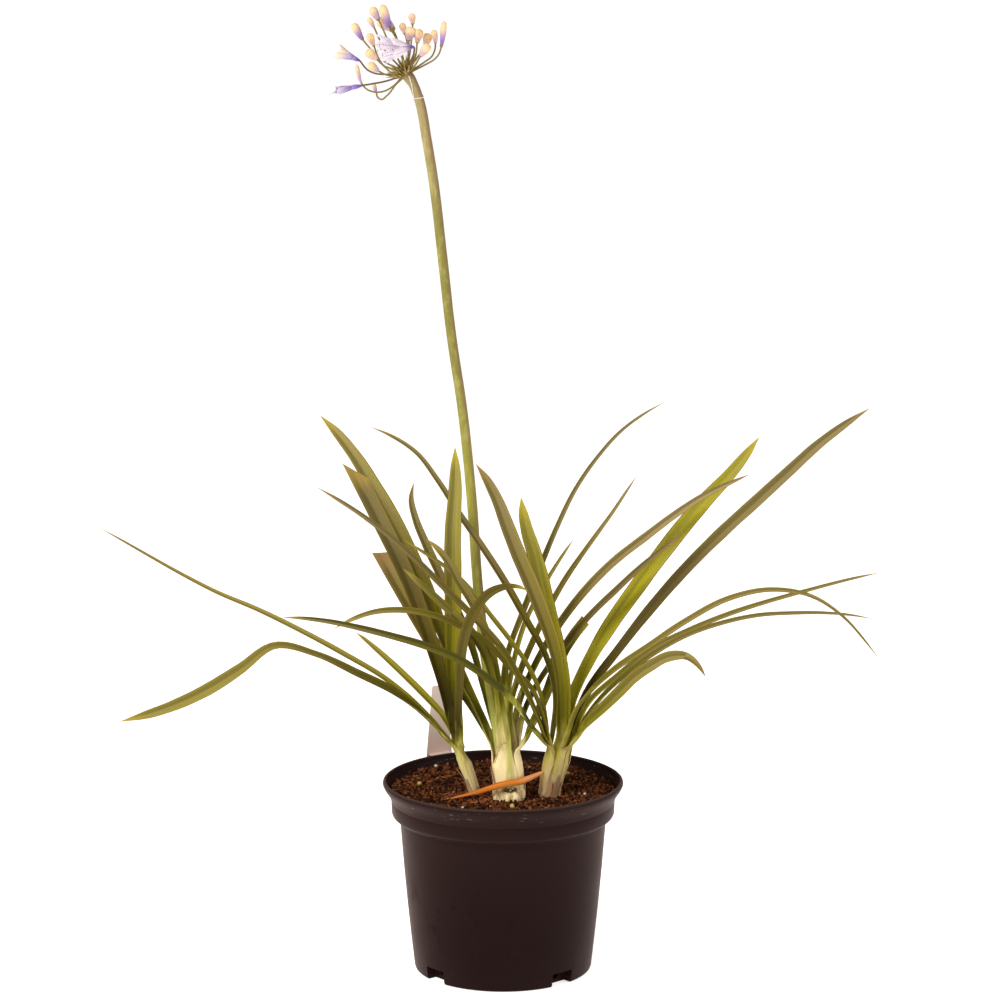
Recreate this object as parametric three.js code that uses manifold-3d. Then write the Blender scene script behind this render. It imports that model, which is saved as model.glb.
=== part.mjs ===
// Agapanthus in its black nursery pot: a moulded pot, the soil in it, three leafy shoots with
// thirty strap leaves, one flower stem with its head of buds and flowers, a withered leaf and
// a blank plant label. Millimetres, +Z up; the origin is the centre of the pot's flat underside,
// +X is the side that most leaves with an R in their name lean to, and -Y is the front.
import * as THREE from 'three';
import { mergeVertices } from 'three/addons/utils/BufferGeometryUtils.js';
import Module from 'manifold-3d';

const wasm = await Module();
wasm.setup();

// ---- driving dimensions ----
const GAP = 0.3; // air between pieces that touch

const POT = { height: 152, rim: 95, collar: 88, body: 81.4, base: 70.4, wall: 1.6, floor: 2.2, sides: 36 };
const DRAIN = { count: 4, width: 20, height: 11, depth: 10, wall: 1.6, hole: 7, bearing: 41 };
const SOIL = { level: 144, dome: 1.2, sides: 28 };
const LEAF = { sections: 10, thickness: 1.3, channel: 0.9, neck: 0.55, taper: 0.6 };
const STEM = { radius: 3.8, head: 4.4, sides: 8 };
const STALK = { radius: 0.75, sides: 6, sections: 5 };
const LABEL = {
  foot: 24, top: 13, above: 57, below: 16, thickness: 0.6, shelf: 4.3, tongue: 6.6, bearing: 123,
};

const UP = new THREE.Vector3(0, 0, 1);
const FRONT = new THREE.Vector3(0, -1, 0);

const plant = new THREE.Group();

// ---- shared geometry helpers ----
function material(color, roughness) {
  return new THREE.MeshStandardMaterial({ color, roughness, metalness: 0 });
}

function add(name, geometry, finish) {
  const mesh = new THREE.Mesh(geometry, finish);
  mesh.name = name;
  plant.add(mesh);
}

function vector([x, y, z]) {
  return new THREE.Vector3(x, y, z);
}

function curve(points) {
  return new THREE.CatmullRomCurve3(points.map(vector), false, 'centripetal');
}

// A closed body through rings of points; a ring of one point is a pole.
function skin(rings) {
  const positions = [];
  const faces = [];
  let first = 0;
  rings.forEach((ring, i) => {
    ring.forEach((p) => positions.push(p.x, p.y, p.z));
    const next = rings[i + 1];
    if (next) {
      const above = first + ring.length;
      const count = Math.max(ring.length, next.length);
      for (let k = 0; k < count; k += 1) {
        const a = first + (ring.length > 1 ? k : 0);
        const a1 = first + (ring.length > 1 ? (k + 1) % count : 0);
        const b = above + (next.length > 1 ? k : 0);
        const b1 = above + (next.length > 1 ? (k + 1) % count : 0);
        if (ring.length > 1) faces.push(a, a1, b);
        if (next.length > 1) faces.push(a1, b1, b);
      }
    }
    first += ring.length;
  });
  const geometry = new THREE.BufferGeometry();
  geometry.setAttribute('position', new THREE.Float32BufferAttribute(positions, 3));
  geometry.setIndex(faces);
  geometry.computeVertexNormals();
  return geometry;
}

// A geometry as a closed solid, with its seams and poles welded.
function toSolid(geometry) {
  const bare = geometry.clone();
  bare.deleteAttribute('normal');
  bare.deleteAttribute('uv');
  const welded = mergeVertices(bare, 1e-4);
  const index = welded.index.array;
  const triangles = [];
  for (let i = 0; i < index.length; i += 3) {
    const [a, b, c] = index.slice(i, i + 3);
    if (a !== b && b !== c && c !== a) triangles.push(a, b, c);
  }
  return new wasm.Manifold(new wasm.Mesh({
    numProp: 3,
    vertProperties: Float32Array.from(welded.attributes.position.array),
    triVerts: Uint32Array.from(triangles),
  }));
}

function toGeometry(solid) {
  const { vertProperties, triVerts } = solid.getMesh();
  const geometry = new THREE.BufferGeometry();
  geometry.setAttribute('position', new THREE.BufferAttribute(vertProperties, 3));
  geometry.setIndex(new THREE.BufferAttribute(triVerts, 1));
  geometry.computeVertexNormals();
  return geometry;
}

function lathe(profile, sides) {
  const points = profile.map(([radius, z]) => new THREE.Vector2(radius, z));
  return new THREE.LatheGeometry(points, sides).rotateX(Math.PI / 2);
}

// An ellipse of points about a centre, counter-clockwise seen from above; turn is in degrees.
function ellipse([x, y, z], halfX, halfY, sides, turn = 0) {
  const angle = THREE.MathUtils.degToRad(turn);
  return Array.from({ length: sides }, (_, k) => {
    const t = (2 * Math.PI * k) / sides;
    const p = new THREE.Vector3(halfX * Math.cos(t), halfY * Math.sin(t), 0);
    return p.applyAxisAngle(UP, angle).add(new THREE.Vector3(x, y, z));
  });
}

// ---- pot: black plastic, with a flared lip, a deep collar and moulded drains ----
// The outside runs up from the middle of the underside to the lip; the inside runs back down.
const potOutside = [
  [0, 0], [POT.base - 1.6, 0], [POT.base, 2], [POT.base + 5.4, 52], [POT.body, 119.5],
  [POT.body + 1.2, 121.6], [POT.collar - 1.2, 124.2], [POT.collar, 126.4], [POT.collar + 0.3, 135],
  [POT.collar + 1, 138.2], [POT.rim - 3.6, 143], [POT.rim - 0.8, 147.2], [POT.rim, 149.7],
  [POT.rim - 0.9, 151.6],
];
const potInside = [
  [POT.rim - 2.4, POT.height], [POT.rim - 2.6, 149.6], [POT.rim - 5, 143.9],
  [POT.collar - 0.6, 138.8], [POT.collar - POT.wall - 0.1, 134], [POT.collar - POT.wall - 0.2, 128],
  [POT.collar - 2.2, 125.6], [POT.body + 0.2, 122.8], [POT.body - POT.wall, 120.5],
  [POT.base + 5.4 - POT.wall, 52], [POT.base - POT.wall, 4], [POT.base - 4, POT.floor],
  [0, POT.floor],
];

// A drain is a recess pressed into the bottom corner; grow thickens it for the wall behind.
function drainBlock(grow, bearing) {
  const block = new THREE.BoxGeometry(
    DRAIN.width + 2 * grow, 2 * (DRAIN.depth + grow), 2 * (DRAIN.height + grow),
  );
  block.translate(0, -(POT.base + 1), 0);
  block.rotateZ(bearing);
  return toSolid(block);
}

// The round hole in the back of each recess lets the water out of the pot.
function drainHole(bearing) {
  const hole = new THREE.CylinderGeometry(DRAIN.hole / 2, DRAIN.hole / 2, DRAIN.hole, 10);
  hole.translate(0, -(POT.base + 1 - DRAIN.depth), DRAIN.height / 2 + 1);
  hole.rotateZ(bearing);
  return toSolid(hole);
}

const drainBearings = Array.from(
  { length: DRAIN.count },
  (_, k) => THREE.MathUtils.degToRad(DRAIN.bearing + (360 / DRAIN.count) * k),
);

const potShell = toSolid(lathe([...potOutside, ...potInside], POT.sides));
const potOuter = toSolid(lathe([...potOutside, [0, potOutside.at(-1)[1]]], POT.sides));
let potSolid = potShell;
for (const bearing of drainBearings) {
  potSolid = potSolid.add(potOuter.intersect(drainBlock(DRAIN.wall, bearing)))
    .subtract(drainBlock(0, bearing)).subtract(drainHole(bearing));
}
add('pot', toGeometry(potSolid), material(0x1f1b1b, 0.45));

// ---- shoots: the thick pale bases that the leaves grow from ----
// Each is a stack of ellipses from its foot in the soil to its crown, where the leaves leave it.
// A section is [x, y, z, half width, half depth]; turn is the ellipse's bearing in degrees.
const SHOOTS = {
  left: {
    turn: 20,
    sections: [
      [-20, -17, 131, 3, 3], [-21, -18, 137, 4.4, 4.2], [-22, -18, 146, 4.4, 4],
      [-26, -19, 160, 4.6, 4], [-31, -19, 172, 5.6, 4.4], [-33.5, -19, 179, 5, 3.8],
      [-34.5, -19, 183, 2.6, 2],
    ],
  },
  middle: {
    turn: 0,
    sections: [
      [4, -31, 129, 8, 7.5], [4, -31, 135, 12.4, 11.4], [4.5, -31, 146, 12.4, 11.6],
      [4.5, -31, 160, 11.8, 10.8], [3, -31, 174, 12.2, 10.4], [2, -31, 182, 11.6, 9.8],
      [1, -31, 188, 8.5, 7.2],
    ],
  },
  right: {
    turn: 24,
    sections: [
      [36, -22, 130, 5, 4.5], [36, -23, 136, 8.2, 7], [36.5, -23, 146, 8.6, 7],
      [38.5, -23, 160, 9.4, 7], [42, -23, 174, 11, 8], [43.5, -23, 181, 10.6, 8],
      [44.5, -23, 187, 7.6, 5.6],
    ],
  },
};

function shootSolid({ sections, turn }, grow) {
  const [x0, y0, z0] = sections[0];
  const [x1, y1, z1] = sections.at(-1);
  const rings = sections.map(([x, y, z, halfX, halfY]) => {
    const height = z + grow * ((z === z1) - (z === z0));
    return ellipse([x, y, height], halfX + grow, halfY + grow, 10, turn);
  });
  const foot = [new THREE.Vector3(x0, y0, z0 - 1 - grow)];
  const crown = [new THREE.Vector3(x1, y1, z1 + 1 + grow)];
  return toSolid(skin([foot, ...rings, crown]));
}

const shootFinish = material(0xcfcf9a, 0.5);
const grownShoots = {};
for (const [side, shoot] of Object.entries(SHOOTS)) {
  add(`shoot_${side}`, toGeometry(shootSolid(shoot, 0)), shootFinish);
  grownShoots[side] = shootSolid(shoot, GAP);
}

// ---- soil: fills the pot to just under its lip, with a socket round each shoot ----
const soilFoot = POT.base + 1 - DRAIN.depth - DRAIN.wall - 2;
const soilLedge = DRAIN.height + DRAIN.wall + 1;
const soilProfile = [
  [0, POT.floor + GAP], [soilFoot, POT.floor + GAP], [soilFoot, soilLedge],
  [POT.base - POT.wall - 1, soilLedge + 2], [POT.base + 4.6 - POT.wall, 52], [POT.body - 3.6, 119],
  [POT.collar - POT.wall - 1.4, 128.6], [POT.collar - 2.5, 134], [POT.collar - 1.5, 139],
  [POT.collar + 1, SOIL.level],
  [60, SOIL.level + 0.4 * SOIL.dome], [30, SOIL.level + SOIL.dome], [0, SOIL.level + SOIL.dome],
];
let soilSolid = toSolid(lathe(soilProfile, SOIL.sides));
for (const shoot of Object.values(grownShoots)) soilSolid = soilSolid.subtract(shoot);
add('soil', toGeometry(soilSolid), material(0x3c1f12, 0.95));

// ---- leaves: straps that leave a crown, each with its own route from base to tip ----
// face is the way the upper side looks at the base, middle and tip, in degrees: 0 is to the
// front, 90 is up. A blunt leaf keeps its width to the end, as where its tip has been cut off.
const LEAVES = {
  left: [
    {
      width: 8, face: [70, 62, 80], route: [[-36, -19, 172], [-37, -18, 178], [-48, -16, 196],
        [-66, -11, 212], [-93, -4, 234], [-138, 7, 258], [-185, 19, 280], [-232, 31, 298],
        [-278, 45, 320], [-323, 60, 343]],
    },
    {
      width: 10, face: [72, 60, 0], route: [[-34, -22, 172], [-40, -24, 182], [-50, -26, 198],
        [-71, -31, 221], [-97, -36, 237], [-124, -41, 252], [-152, -47, 266], [-168, -50, 272],
        [-180, -53, 268], [-205, -59, 251], [-232, -66, 236], [-261, -73, 225], [-291, -80, 218]],
    },
    {
      width: 8, face: [70, 53, 60], route: [[-33, -15, 172], [-36, -13, 181], [-43, -4, 197],
        [-57, 11, 211], [-90, 48, 235], [-119, 80, 253]],
    },
    {
      width: 11.5, face: [60, 30, 25], blunt: true, route: [[-31, -21, 174], [-34, -21, 184],
        [-39, -22, 199], [-44, -24, 221], [-51, -26, 250], [-61, -27, 284], [-73, -29, 318],
        [-101, -34, 379], [-114, -36, 406]],
    },
    {
      width: 12.5, face: [50, 8, 8], route: [[-30, -17, 174], [-32, -17, 182], [-36, -16, 197],
        [-39, -16, 220], [-39, -16, 299], [-39, -18, 350], [-37, -19, 390], [-37, -20, 420]],
    },
    {
      width: 10, face: [60, 50, 70], route: [[-28, -22, 174], [-31, -25, 184], [-34, -33, 208],
        [-33, -44, 242], [-31, -57, 268], [-25, -71, 294], [-13, -84, 315], [-3, -94, 323],
        [8, -104, 327], [18, -119, 327]],
    },
  ],
  middle: [
    {
      width: 12.5, face: [70, 35, 25], route: [[-6, -32, 178], [-9, -31, 190], [-20, -20, 214],
        [-33, -6, 237], [-46, 4, 264], [-57, 6, 295], [-85, 18, 354], [-114, 30, 401],
        [-125, 35, 416], [-144, 40, 436]],
    },
    {
      width: 12, face: [70, 20, 15], blunt: true, route: [[-7, -26, 178], [-11.5, -20, 191],
        [-21, -12, 209], [-32, -2, 224], [-45, 4, 243], [-75, 14, 292], [-98, 28, 330]],
    },
    {
      width: 8, face: [70, 45, 15], route: [[-4, -24, 180], [-5, -21, 191], [-13, -15, 218],
        [-27, -9, 267], [-48, 2, 312], [-65, 10, 349], [-71, 14, 366], [-72, 18, 380],
        [-70, 20, 386]],
    },
    {
      width: 9, face: [60, 45, 40], route: [[3, -38, 180], [1, -40, 201], [-5, -40, 241],
        [-12, -40, 273], [-23, -43, 301], [-36, -46, 323], [-46, -49, 341], [-59, -51, 354]],
    },
    {
      width: 9, face: [70, 45, 40], route: [[-4, -38, 180], [-3, -44, 198], [-7, -50, 235],
        [-11, -50, 255], [-23, -48, 278], [-49, -51, 305], [-76, -58, 332]],
    },
    {
      width: 10, face: [60, 60, 78], route: [[6, -36, 180], [5, -34, 201], [0, -29, 231],
        [4, -22, 257], [10, -15, 271], [18, -6, 293], [36, 8, 336], [56, 21, 378], [84, 38, 414],
        [102, 48, 429], [128, 60, 444]],
    },
    {
      width: 9, face: [60, 55, 72], route: [[6, -32, 180], [5, -34, 192], [7, -23, 221],
        [18, -6, 250], [42, 23, 295], [62, 43, 322], [83, 64, 347], [93, 75, 359], [108, 90, 380]],
    },
    {
      width: 7, face: [60, 50, 55], route: [[3, -25, 180], [3, -27, 191], [5, -12, 227],
        [15, 9, 268], [24, 20, 287], [39, 35, 311], [56, 50, 335]],
    },
    {
      width: 9, face: [70, 45, 45], route: [[6, -26, 180], [7, -26, 188], [15, -12, 224],
        [25, -4, 244], [49, 9, 281], [79, 18, 315], [113, 28, 341], [156, 39, 370], [195, 46, 388]],
    },
    {
      width: 9, face: [70, 64, 60], route: [[9, -30, 180], [10, -30, 192], [24, -14, 226],
        [41, -3, 250], [65, 3, 279], [88, 8, 301], [109, 12, 320], [142, 18, 346]],
    },
    {
      width: 10, face: [70, 45, 35], blunt: true, route: [[10, -37, 178], [14, -37, 188],
        [26, -25, 208], [34, -14, 223], [43, -1, 244], [53, 10, 261], [66, 21, 276]],
    },
  ],
  right: [
    {
      width: 9, face: [60, 58, 65], route: [[36, -27, 178], [32, -33, 194], [24, -42, 221],
        [13, -50, 243], [2, -59, 265], [-13, -60, 284], [-44, -69, 318], [-70, -78, 346],
        [-96, -85, 370], [-118, -88, 386], [-139, -90, 400]],
    },
    {
      width: 9, face: [70, 45, 60], route: [[41, -21, 180], [42, -20, 195], [39, -23, 233],
        [31, -24, 261], [15, -22, 289], [-7, -16, 327], [-30, -9, 359], [-58, 1, 400],
        [-74, 5, 417], [-103, 12, 431]],
    },
    {
      width: 7, face: [70, 62, 60], route: [[39, -25, 180], [37, -27, 191], [29, -30, 227],
        [14, -34, 259], [-3, -34, 281], [-33, -35, 319], [-76, -40, 351]],
    },
    {
      width: 9, face: [75, 54, 66], route: [[38, -29, 176], [30, -37, 190], [21, -48, 209],
        [6, -60, 231], [-10, -69, 247], [-28, -78, 262], [-47, -84, 273], [-99, -99, 292],
        [-137, -108, 302], [-165, -114, 306]],
    },
    {
      width: 8, face: [75, 60, 50], route: [[40, -28, 178], [35, -32, 193], [29, -36, 222],
        [19, -38, 237], [2, -45, 255], [-10, -50, 270], [-23, -54, 281], [-48, -60, 294],
        [-70, -66, 301], [-87, -69, 301], [-105, -71, 299], [-129, -72, 288]],
    },
    {
      width: 12, face: [60, 30, 35], route: [[43, -28, 180], [44, -31, 192], [45, -31, 231],
        [41, -28, 258], [26, -24, 302], [12, -21, 335], [-1, -19, 368], [-8, -17, 385],
        [-21, -15, 406]],
    },
    {
      width: 12, face: [60, 12, 5], route: [[44, -21, 180], [46, -18, 193], [48, -15, 227],
        [44, -13, 251], [35, -11, 290], [22, -6, 342], [17, -5, 357], [14, -3, 378]],
    },
    {
      width: 12.5, face: [70, 12, 8], route: [[47, -17, 180], [51, -10, 207], [56, -6, 222],
        [75, 7, 259], [100, 20, 294], [126, 34, 327], [154, 50, 359], [185, 64, 390],
        [205, 74, 414]],
    },
    {
      width: 11, face: [70, 40, 25], route: [[51, -18, 180], [59, -8, 209], [75, 0, 234],
        [92, 6, 256], [121, 16, 291], [158, 27, 330], [198, 40, 365], [239, 50, 401],
        [259, 54, 418], [291, 60, 439]],
    },
    {
      width: 9, face: [75, 70, 80], route: [[50, -21, 180], [54, -19, 200], [80, -13, 229],
        [116, -4, 257], [147, 4, 271], [187, 13, 285], [227, 22, 295], [267, 31, 304],
        [299, 40, 310]],
    },
    {
      width: 9, face: [75, 64, 82], route: [[45, -29, 180], [46, -33, 196], [66, -38, 231],
        [91, -41, 253], [117, -45, 272], [136, -48, 286], [156, -51, 299], [179, -54, 310],
        [203, -57, 315], [227, -59, 313], [248, -62, 304], [266, -66, 288], [287, -70, 263]],
    },
    {
      width: 8, face: [75, 68, 80], route: [[49, -25, 180], [51, -26, 190], [73, -29, 220],
        [91, -28, 239], [122, -27, 262], [153, -24, 277], [200, -21, 288], [231, -19, 289],
        [262, -17, 288], [288, -15, 284]],
    },
    {
      width: 11, face: [70, 47, 62], route: [[48, -27, 174], [50, -31, 181], [58, -34, 198],
        [72, -38, 213], [88, -42, 230], [104, -46, 247], [124, -51, 260], [134, -54, 264],
        [145, -56, 260], [155, -60, 248]],
    },
  ],
};

// Half-width along a leaf: a narrow neck, an even strap and a rounded taper to the tip.
function leafHalfWidth(leaf, s) {
  const neck = LEAF.neck + (1 - LEAF.neck) * THREE.MathUtils.smoothstep(s, 0, 0.35);
  const past = Math.max(0, (s - LEAF.taper) / (1 - LEAF.taper));
  const taper = leaf.blunt ? 1 : Math.sqrt(1 - past ** 2);
  return (leaf.width / 2) * neck * taper;
}

function threeWay([a, b, c], s) {
  return s < 0.5 ? a + (b - a) * 2 * s : b + (c - b) * (2 * s - 1);
}

// Four points round the leaf at s: right edge, upper middle, left edge and keel. The edges stand
// above the middle, which makes the channel that runs down the strap.
function leafRing(leaf, path, s) {
  const centre = path.getPointAt(s);
  const along = path.getTangentAt(s);
  const front = FRONT.clone().addScaledVector(along, -FRONT.dot(along)).normalize();
  const side = leaf.route.at(-1)[0] < leaf.route[0][0] ? 1 : -1;
  const lift = along.clone().cross(front).multiplyScalar(side);
  const face = THREE.MathUtils.degToRad(threeWay(leaf.face, s));
  const normal = front.multiplyScalar(Math.cos(face)).addScaledVector(lift, Math.sin(face));
  const across = normal.clone().cross(along);
  const half = leafHalfWidth(leaf, s);
  const slim = Math.min(1, half / 3);
  const point = (a, n) => centre.clone().addScaledVector(across, a).addScaledVector(normal, n);
  return [
    point(half, LEAF.channel * slim), point(0, 0.5 * LEAF.thickness * slim),
    point(-half, LEAF.channel * slim), point(0, -0.5 * LEAF.thickness * slim),
  ];
}

// Sections stand closer together towards the tip, where the leaf narrows.
function leafStations(leaf) {
  const even = Array.from({ length: LEAF.sections }, (_, i) => 1 - (1 - i / LEAF.sections) ** 1.25);
  return leaf.blunt ? [...even.slice(0, -1), 0.99] : even;
}

const leafFinish = material(0x6f7a1e, 0.4);
for (const [side, leaves] of Object.entries(LEAVES)) {
  leaves.forEach((leaf, i) => {
    const path = curve(leaf.route);
    const rings = leafStations(leaf).map((s) => leafRing(leaf, path, s));
    const blade = toSolid(skin([[path.getPointAt(0)], ...rings, [path.getPointAt(1)]]));
    add(`leaf_${side}_${i + 1}`, toGeometry(blade.subtract(grownShoots[side])), leafFinish);
  });
}

// ---- tubes: rings square to a path, for the stem, the flower stalks, buds and flowers ----
// stations is a list of [t, radius, valley, lead]: t counts the path's own points from 0 to 1,
// valley is the radius of every other point, and lead moves the other points along the path.
function tubeRings(path, stations, sides) {
  let axis = null;
  return stations.map(([t, radius, valley = radius, lead = 0]) => {
    const centre = path.getPoint(Math.min(t, 1));
    const along = path.getTangent(Math.min(t, 1));
    const guide = axis ?? along.clone().cross(FRONT);
    axis = guide.clone().addScaledVector(along, -guide.dot(along)).normalize();
    const other = along.clone().cross(axis);
    return Array.from({ length: sides }, (_, k) => {
      const angle = (2 * Math.PI * k) / sides;
      const r = k % 2 ? valley : radius;
      return centre.clone().addScaledVector(axis, r * Math.cos(angle))
        .addScaledVector(other, r * Math.sin(angle)).addScaledVector(along, k % 2 ? -lead : 0);
    });
  });
}

// ---- flower stem: rises out of the middle shoot and swells into the head of the umbel ----
const stemRoute = [
  [1, -31, 180], [-4, -30, 195], [-9.7, -22, 229], [-14.4, -14, 259], [-19.5, 0, 305],
  [-24.5, 8, 375], [-31.5, 10, 444], [-40, 9, 503], [-47, 7, 567], [-54, 5, 627], [-58.5, 3, 655],
  [-64, 1.5, 684], [-69, 0.5, 697], [-73.5, 0, 703.5],
];
const HEAD = vector(stemRoute.at(-1));
const stemPath = curve(stemRoute);
const stemStations = stemRoute.map((_, i) => [i / (stemRoute.length - 1), STEM.radius]);
stemStations.at(-1)[1] = STEM.head;
const stemRings = tubeRings(stemPath, stemStations, STEM.sides);
const stemEnd = stemPath.getTangent(1);
const dome = stemRings.at(-1).map((p) => (
  p.clone().lerp(HEAD, 0.35).addScaledVector(stemEnd, STEM.head * 0.7)
));
const stemTip = HEAD.clone().addScaledVector(stemEnd, STEM.head);
const stemSolid = toSolid(skin([[stemPath.getPoint(0)], ...stemRings, dome, [stemTip]]));
add('flower_stem', toGeometry(stemSolid.subtract(grownShoots.middle)), material(0x7d8230, 0.45));

// ---- umbel: stalks that spread from the head, each ending in a bud or a flower ----
// Places are measured from the head. A stalk starts on the head, passes its bends and reaches
// the foot of its bud; the bud runs on from there to its tip.
const BUDS = [
  { radius: 2.8, bends: [[-12, 2, 21]], foot: [-21, 8, 40], tip: [-27, 11, 50] },
  { radius: 3, bends: [[-5, -1, 22]], foot: [-12, -5, 34.8], tip: [-18.5, -6, 52.2] },
  { radius: 3.2, bends: [[-6, 9, 21]], foot: [-10.6, 18, 32.6], tip: [-22, 24, 41] },
  { radius: 2.2, bends: [[-16, -10, 18]], foot: [-23.6, -15, 34.8], tip: [-28, -18, 42.4] },
  { radius: 2.5, bends: [[-19, 6, 10.6]], foot: [-33.5, 11, 25.7], tip: [-41, 14, 38] },
  { radius: 2.5, bends: [[-10, -17, 4], [-18, -33, 9]], foot: [-23, -40, 22], tip: [-26.5, -44, 31] },
  { radius: 2.7, bends: [[-6, -25, -2]], foot: [-21, -43, 12], tip: [-28, -48, 18.5] },
  { radius: 2.6, bends: [[-12, -12, -1]], foot: [-20.5, -27, 3], tip: [-27, -35, 8.5] },
  {
    radius: 1.6, bends: [[-14, -2, -12], [-26.6, -7, -13]], foot: [-33.4, -8, -7.6],
    tip: [-37.6, -8, 7.6],
  },
  {
    radius: 1.8, bends: [[-8, 5, -8], [-15, 9, -16.5], [-19.8, 11, -19.7], [-22.5, 12, -18]],
    foot: [-23.6, 12, -14], tip: [-26.2, 12, -6.8],
  },
  { radius: 2.3, bends: [[1, 15, 17]], foot: [-1.5, 22, 29.5], tip: [-4.6, 26, 38] },
  { radius: 2.7, bends: [[3, 5, 18]], foot: [4.6, 9, 37], tip: [3.8, 10, 45.5] },
  { radius: 2.9, bends: [[2, -5, 14]], foot: [2.3, -7, 25], tip: [4.6, -9, 35.6] },
  { radius: 2.7, bends: [[7, -3, 13]], foot: [8.5, -7, 23.5], tip: [10.5, -9, 34] },
  { radius: 2.7, bends: [[8, 10, 12]], foot: [14, 20, 21], tip: [16.5, 24, 30.3] },
  { radius: 2.7, bends: [[6.5, -10, 6]], foot: [11.5, -20, 14], tip: [18, -25, 22.7] },
  { radius: 2.4, bends: [[13, 5, 8.3], [20, 7, 14]], foot: [22, 8, 22.7], tip: [20.5, 9, 33.3] },
  { radius: 2.2, bends: [[13.7, -4, 6.5], [23.6, -6, 13]], foot: [26.6, -6, 20.4], tip: [29, -6, 40] },
];
const FLOWERS = {
  open: { bends: [[3, -8, 8]], foot: [6, -15, 20.5], mouth: [-23, -25, 18], radius: 11.5 },
  opening: {
    bends: [[-22.8, 1, 0], [-31, 2, 4]], foot: [-35.7, 2, 10], mouth: [-54, 3, 17.5], radius: 7,
  },
  nodding: { bends: [[-14, -6, -5]], foot: [-33.4, -22, -8.3], mouth: [-54, -28, -12], radius: 5 },
};

// The path of a stalk and what it carries, from the skin of the head to the end point.
function stalkPath({ bends, foot }, end) {
  const start = vector(bends[0]).setLength(STEM.head + GAP);
  return curve([start.toArray(), ...bends, foot, end].map((p) => vector(p).add(HEAD).toArray()));
}

// Stations up a stalk, from the head to the foot of the bud or flower at t.
function stalkStations(foot) {
  return Array.from({ length: STALK.sections }, (_, i) => [(foot * i) / STALK.sections, STALK.radius]);
}

const budProfile = [[0, 0.36], [0.2, 0.72], [0.5, 1], [0.8, 0.86], [0.95, 0.45]];
const budFinish = material(0xe3cf9e, 0.5);
BUDS.forEach((bud, i) => {
  const path = stalkPath(bud, bud.tip);
  const foot = (bud.bends.length + 1) / (bud.bends.length + 2);
  const stations = budProfile.map(([t, scale]) => [foot + (1 - foot) * t, bud.radius * scale]);
  const rings = tubeRings(path, [...stalkStations(foot), ...stations], STALK.sides);
  add(`bud_${i + 1}`, skin([[path.getPoint(0)], ...rings, [path.getPoint(1)]]), budFinish);
});

// A flower is a tube that opens into six lobes: up the outside, over the lip and back down inside.
const FLOWER = { wall: 0.8, sides: 12 };
const flowerFinish = material(0xcfc4e6, 0.5);
for (const [stage, flower] of Object.entries(FLOWERS)) {
  const path = stalkPath(flower, flower.mouth);
  const foot = (flower.bends.length + 1) / (flower.bends.length + 2);
  const at = (t) => foot + (1 - foot) * t;
  const r = flower.radius;
  const length = vector(flower.mouth).distanceTo(vector(flower.foot));
  const stations = [
    [at(0), 1.2], [at(0.25), 0.22 * r + 0.6], [at(0.5), 0.38 * r + 0.4], [at(0.8), 0.72 * r, 0.66 * r],
    [at(1), r, 0.7 * r, 0.16 * length], [at(0.79), 0.72 * r - FLOWER.wall, 0.66 * r - FLOWER.wall],
    [at(0.5), 0.38 * r + 0.4 - FLOWER.wall],
  ];
  const rings = tubeRings(path, [...stalkStations(foot), ...stations], FLOWER.sides);
  add(`flower_${stage}`, skin([[path.getPoint(0)], ...rings, [path.getPoint(at(0.3))]]), flowerFinish);
}

// ---- withered leaf: hangs from the right shoot, across the middle one and down to the soil ----
const witheredRoute = [
  [31, -30.5, 165], [15, -44.5, 162], [0.5, -47, 160], [-13.5, -43, 155], [-25, -34.5, 149],
  [-37, -35, 146.2], [-46, -38, 145.4],
];
const witheredPath = curve(witheredRoute);
const witheredHalves = [[0, 2.2], [0.17, 2.5], [0.34, 2.5], [0.5, 2.2], [0.66, 1.5], [0.84, 0.9]];
const witheredRings = witheredHalves.map(([t, half]) => {
  const centre = witheredPath.getPoint(t);
  const along = witheredPath.getTangent(t);
  const rise = UP.clone().addScaledVector(along, -UP.dot(along)).normalize();
  const out = along.clone().cross(rise);
  const point = (a, n) => centre.clone().addScaledVector(rise, a).addScaledVector(out, n);
  return [point(half, 0), point(0, 0.5), point(-half, 0), point(0, -0.5)];
});
const withered = toSolid(skin([[witheredPath.getPoint(0)], ...witheredRings, [witheredPath.getPoint(1)]]));
add('withered_leaf', toGeometry(withered.subtract(grownShoots.right)), material(0xc26a1e, 0.6));

// ---- label: a blank plastic tag clipped on the back of the lip ----
// Built facing outwards at the front of the pot, then turned to its bearing. A shelf lies on the
// lip and a tongue springs in under it.
const outline = new THREE.Shape([
  new THREE.Vector2(-LABEL.foot / 2, -LABEL.below), new THREE.Vector2(LABEL.foot / 2, -LABEL.below),
  new THREE.Vector2(LABEL.foot / 2, 1), new THREE.Vector2(LABEL.top / 2, LABEL.above),
  new THREE.Vector2(-LABEL.top / 2, LABEL.above), new THREE.Vector2(-LABEL.foot / 2, 1),
]);
const plate = new THREE.ExtrudeGeometry(outline, { depth: LABEL.thickness, bevelEnabled: false });
plate.rotateX(Math.PI / 2).translate(0, -(POT.rim + GAP), 0);
const shelf = new THREE.BoxGeometry(LABEL.foot * 0.8, LABEL.shelf + 0.1, LABEL.thickness);
shelf.translate(0, -(POT.rim + GAP + 0.1 - LABEL.shelf / 2), GAP + LABEL.thickness / 2);
const tongue = new THREE.BoxGeometry(LABEL.foot * 0.3, LABEL.tongue + 0.1, LABEL.thickness);
tongue.translate(0, -(POT.rim + GAP + 0.1 - LABEL.tongue / 2), -LABEL.below);
const labelSolid = [shelf, tongue].reduce((whole, tab) => whole.add(toSolid(tab)), toSolid(plate));
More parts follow.
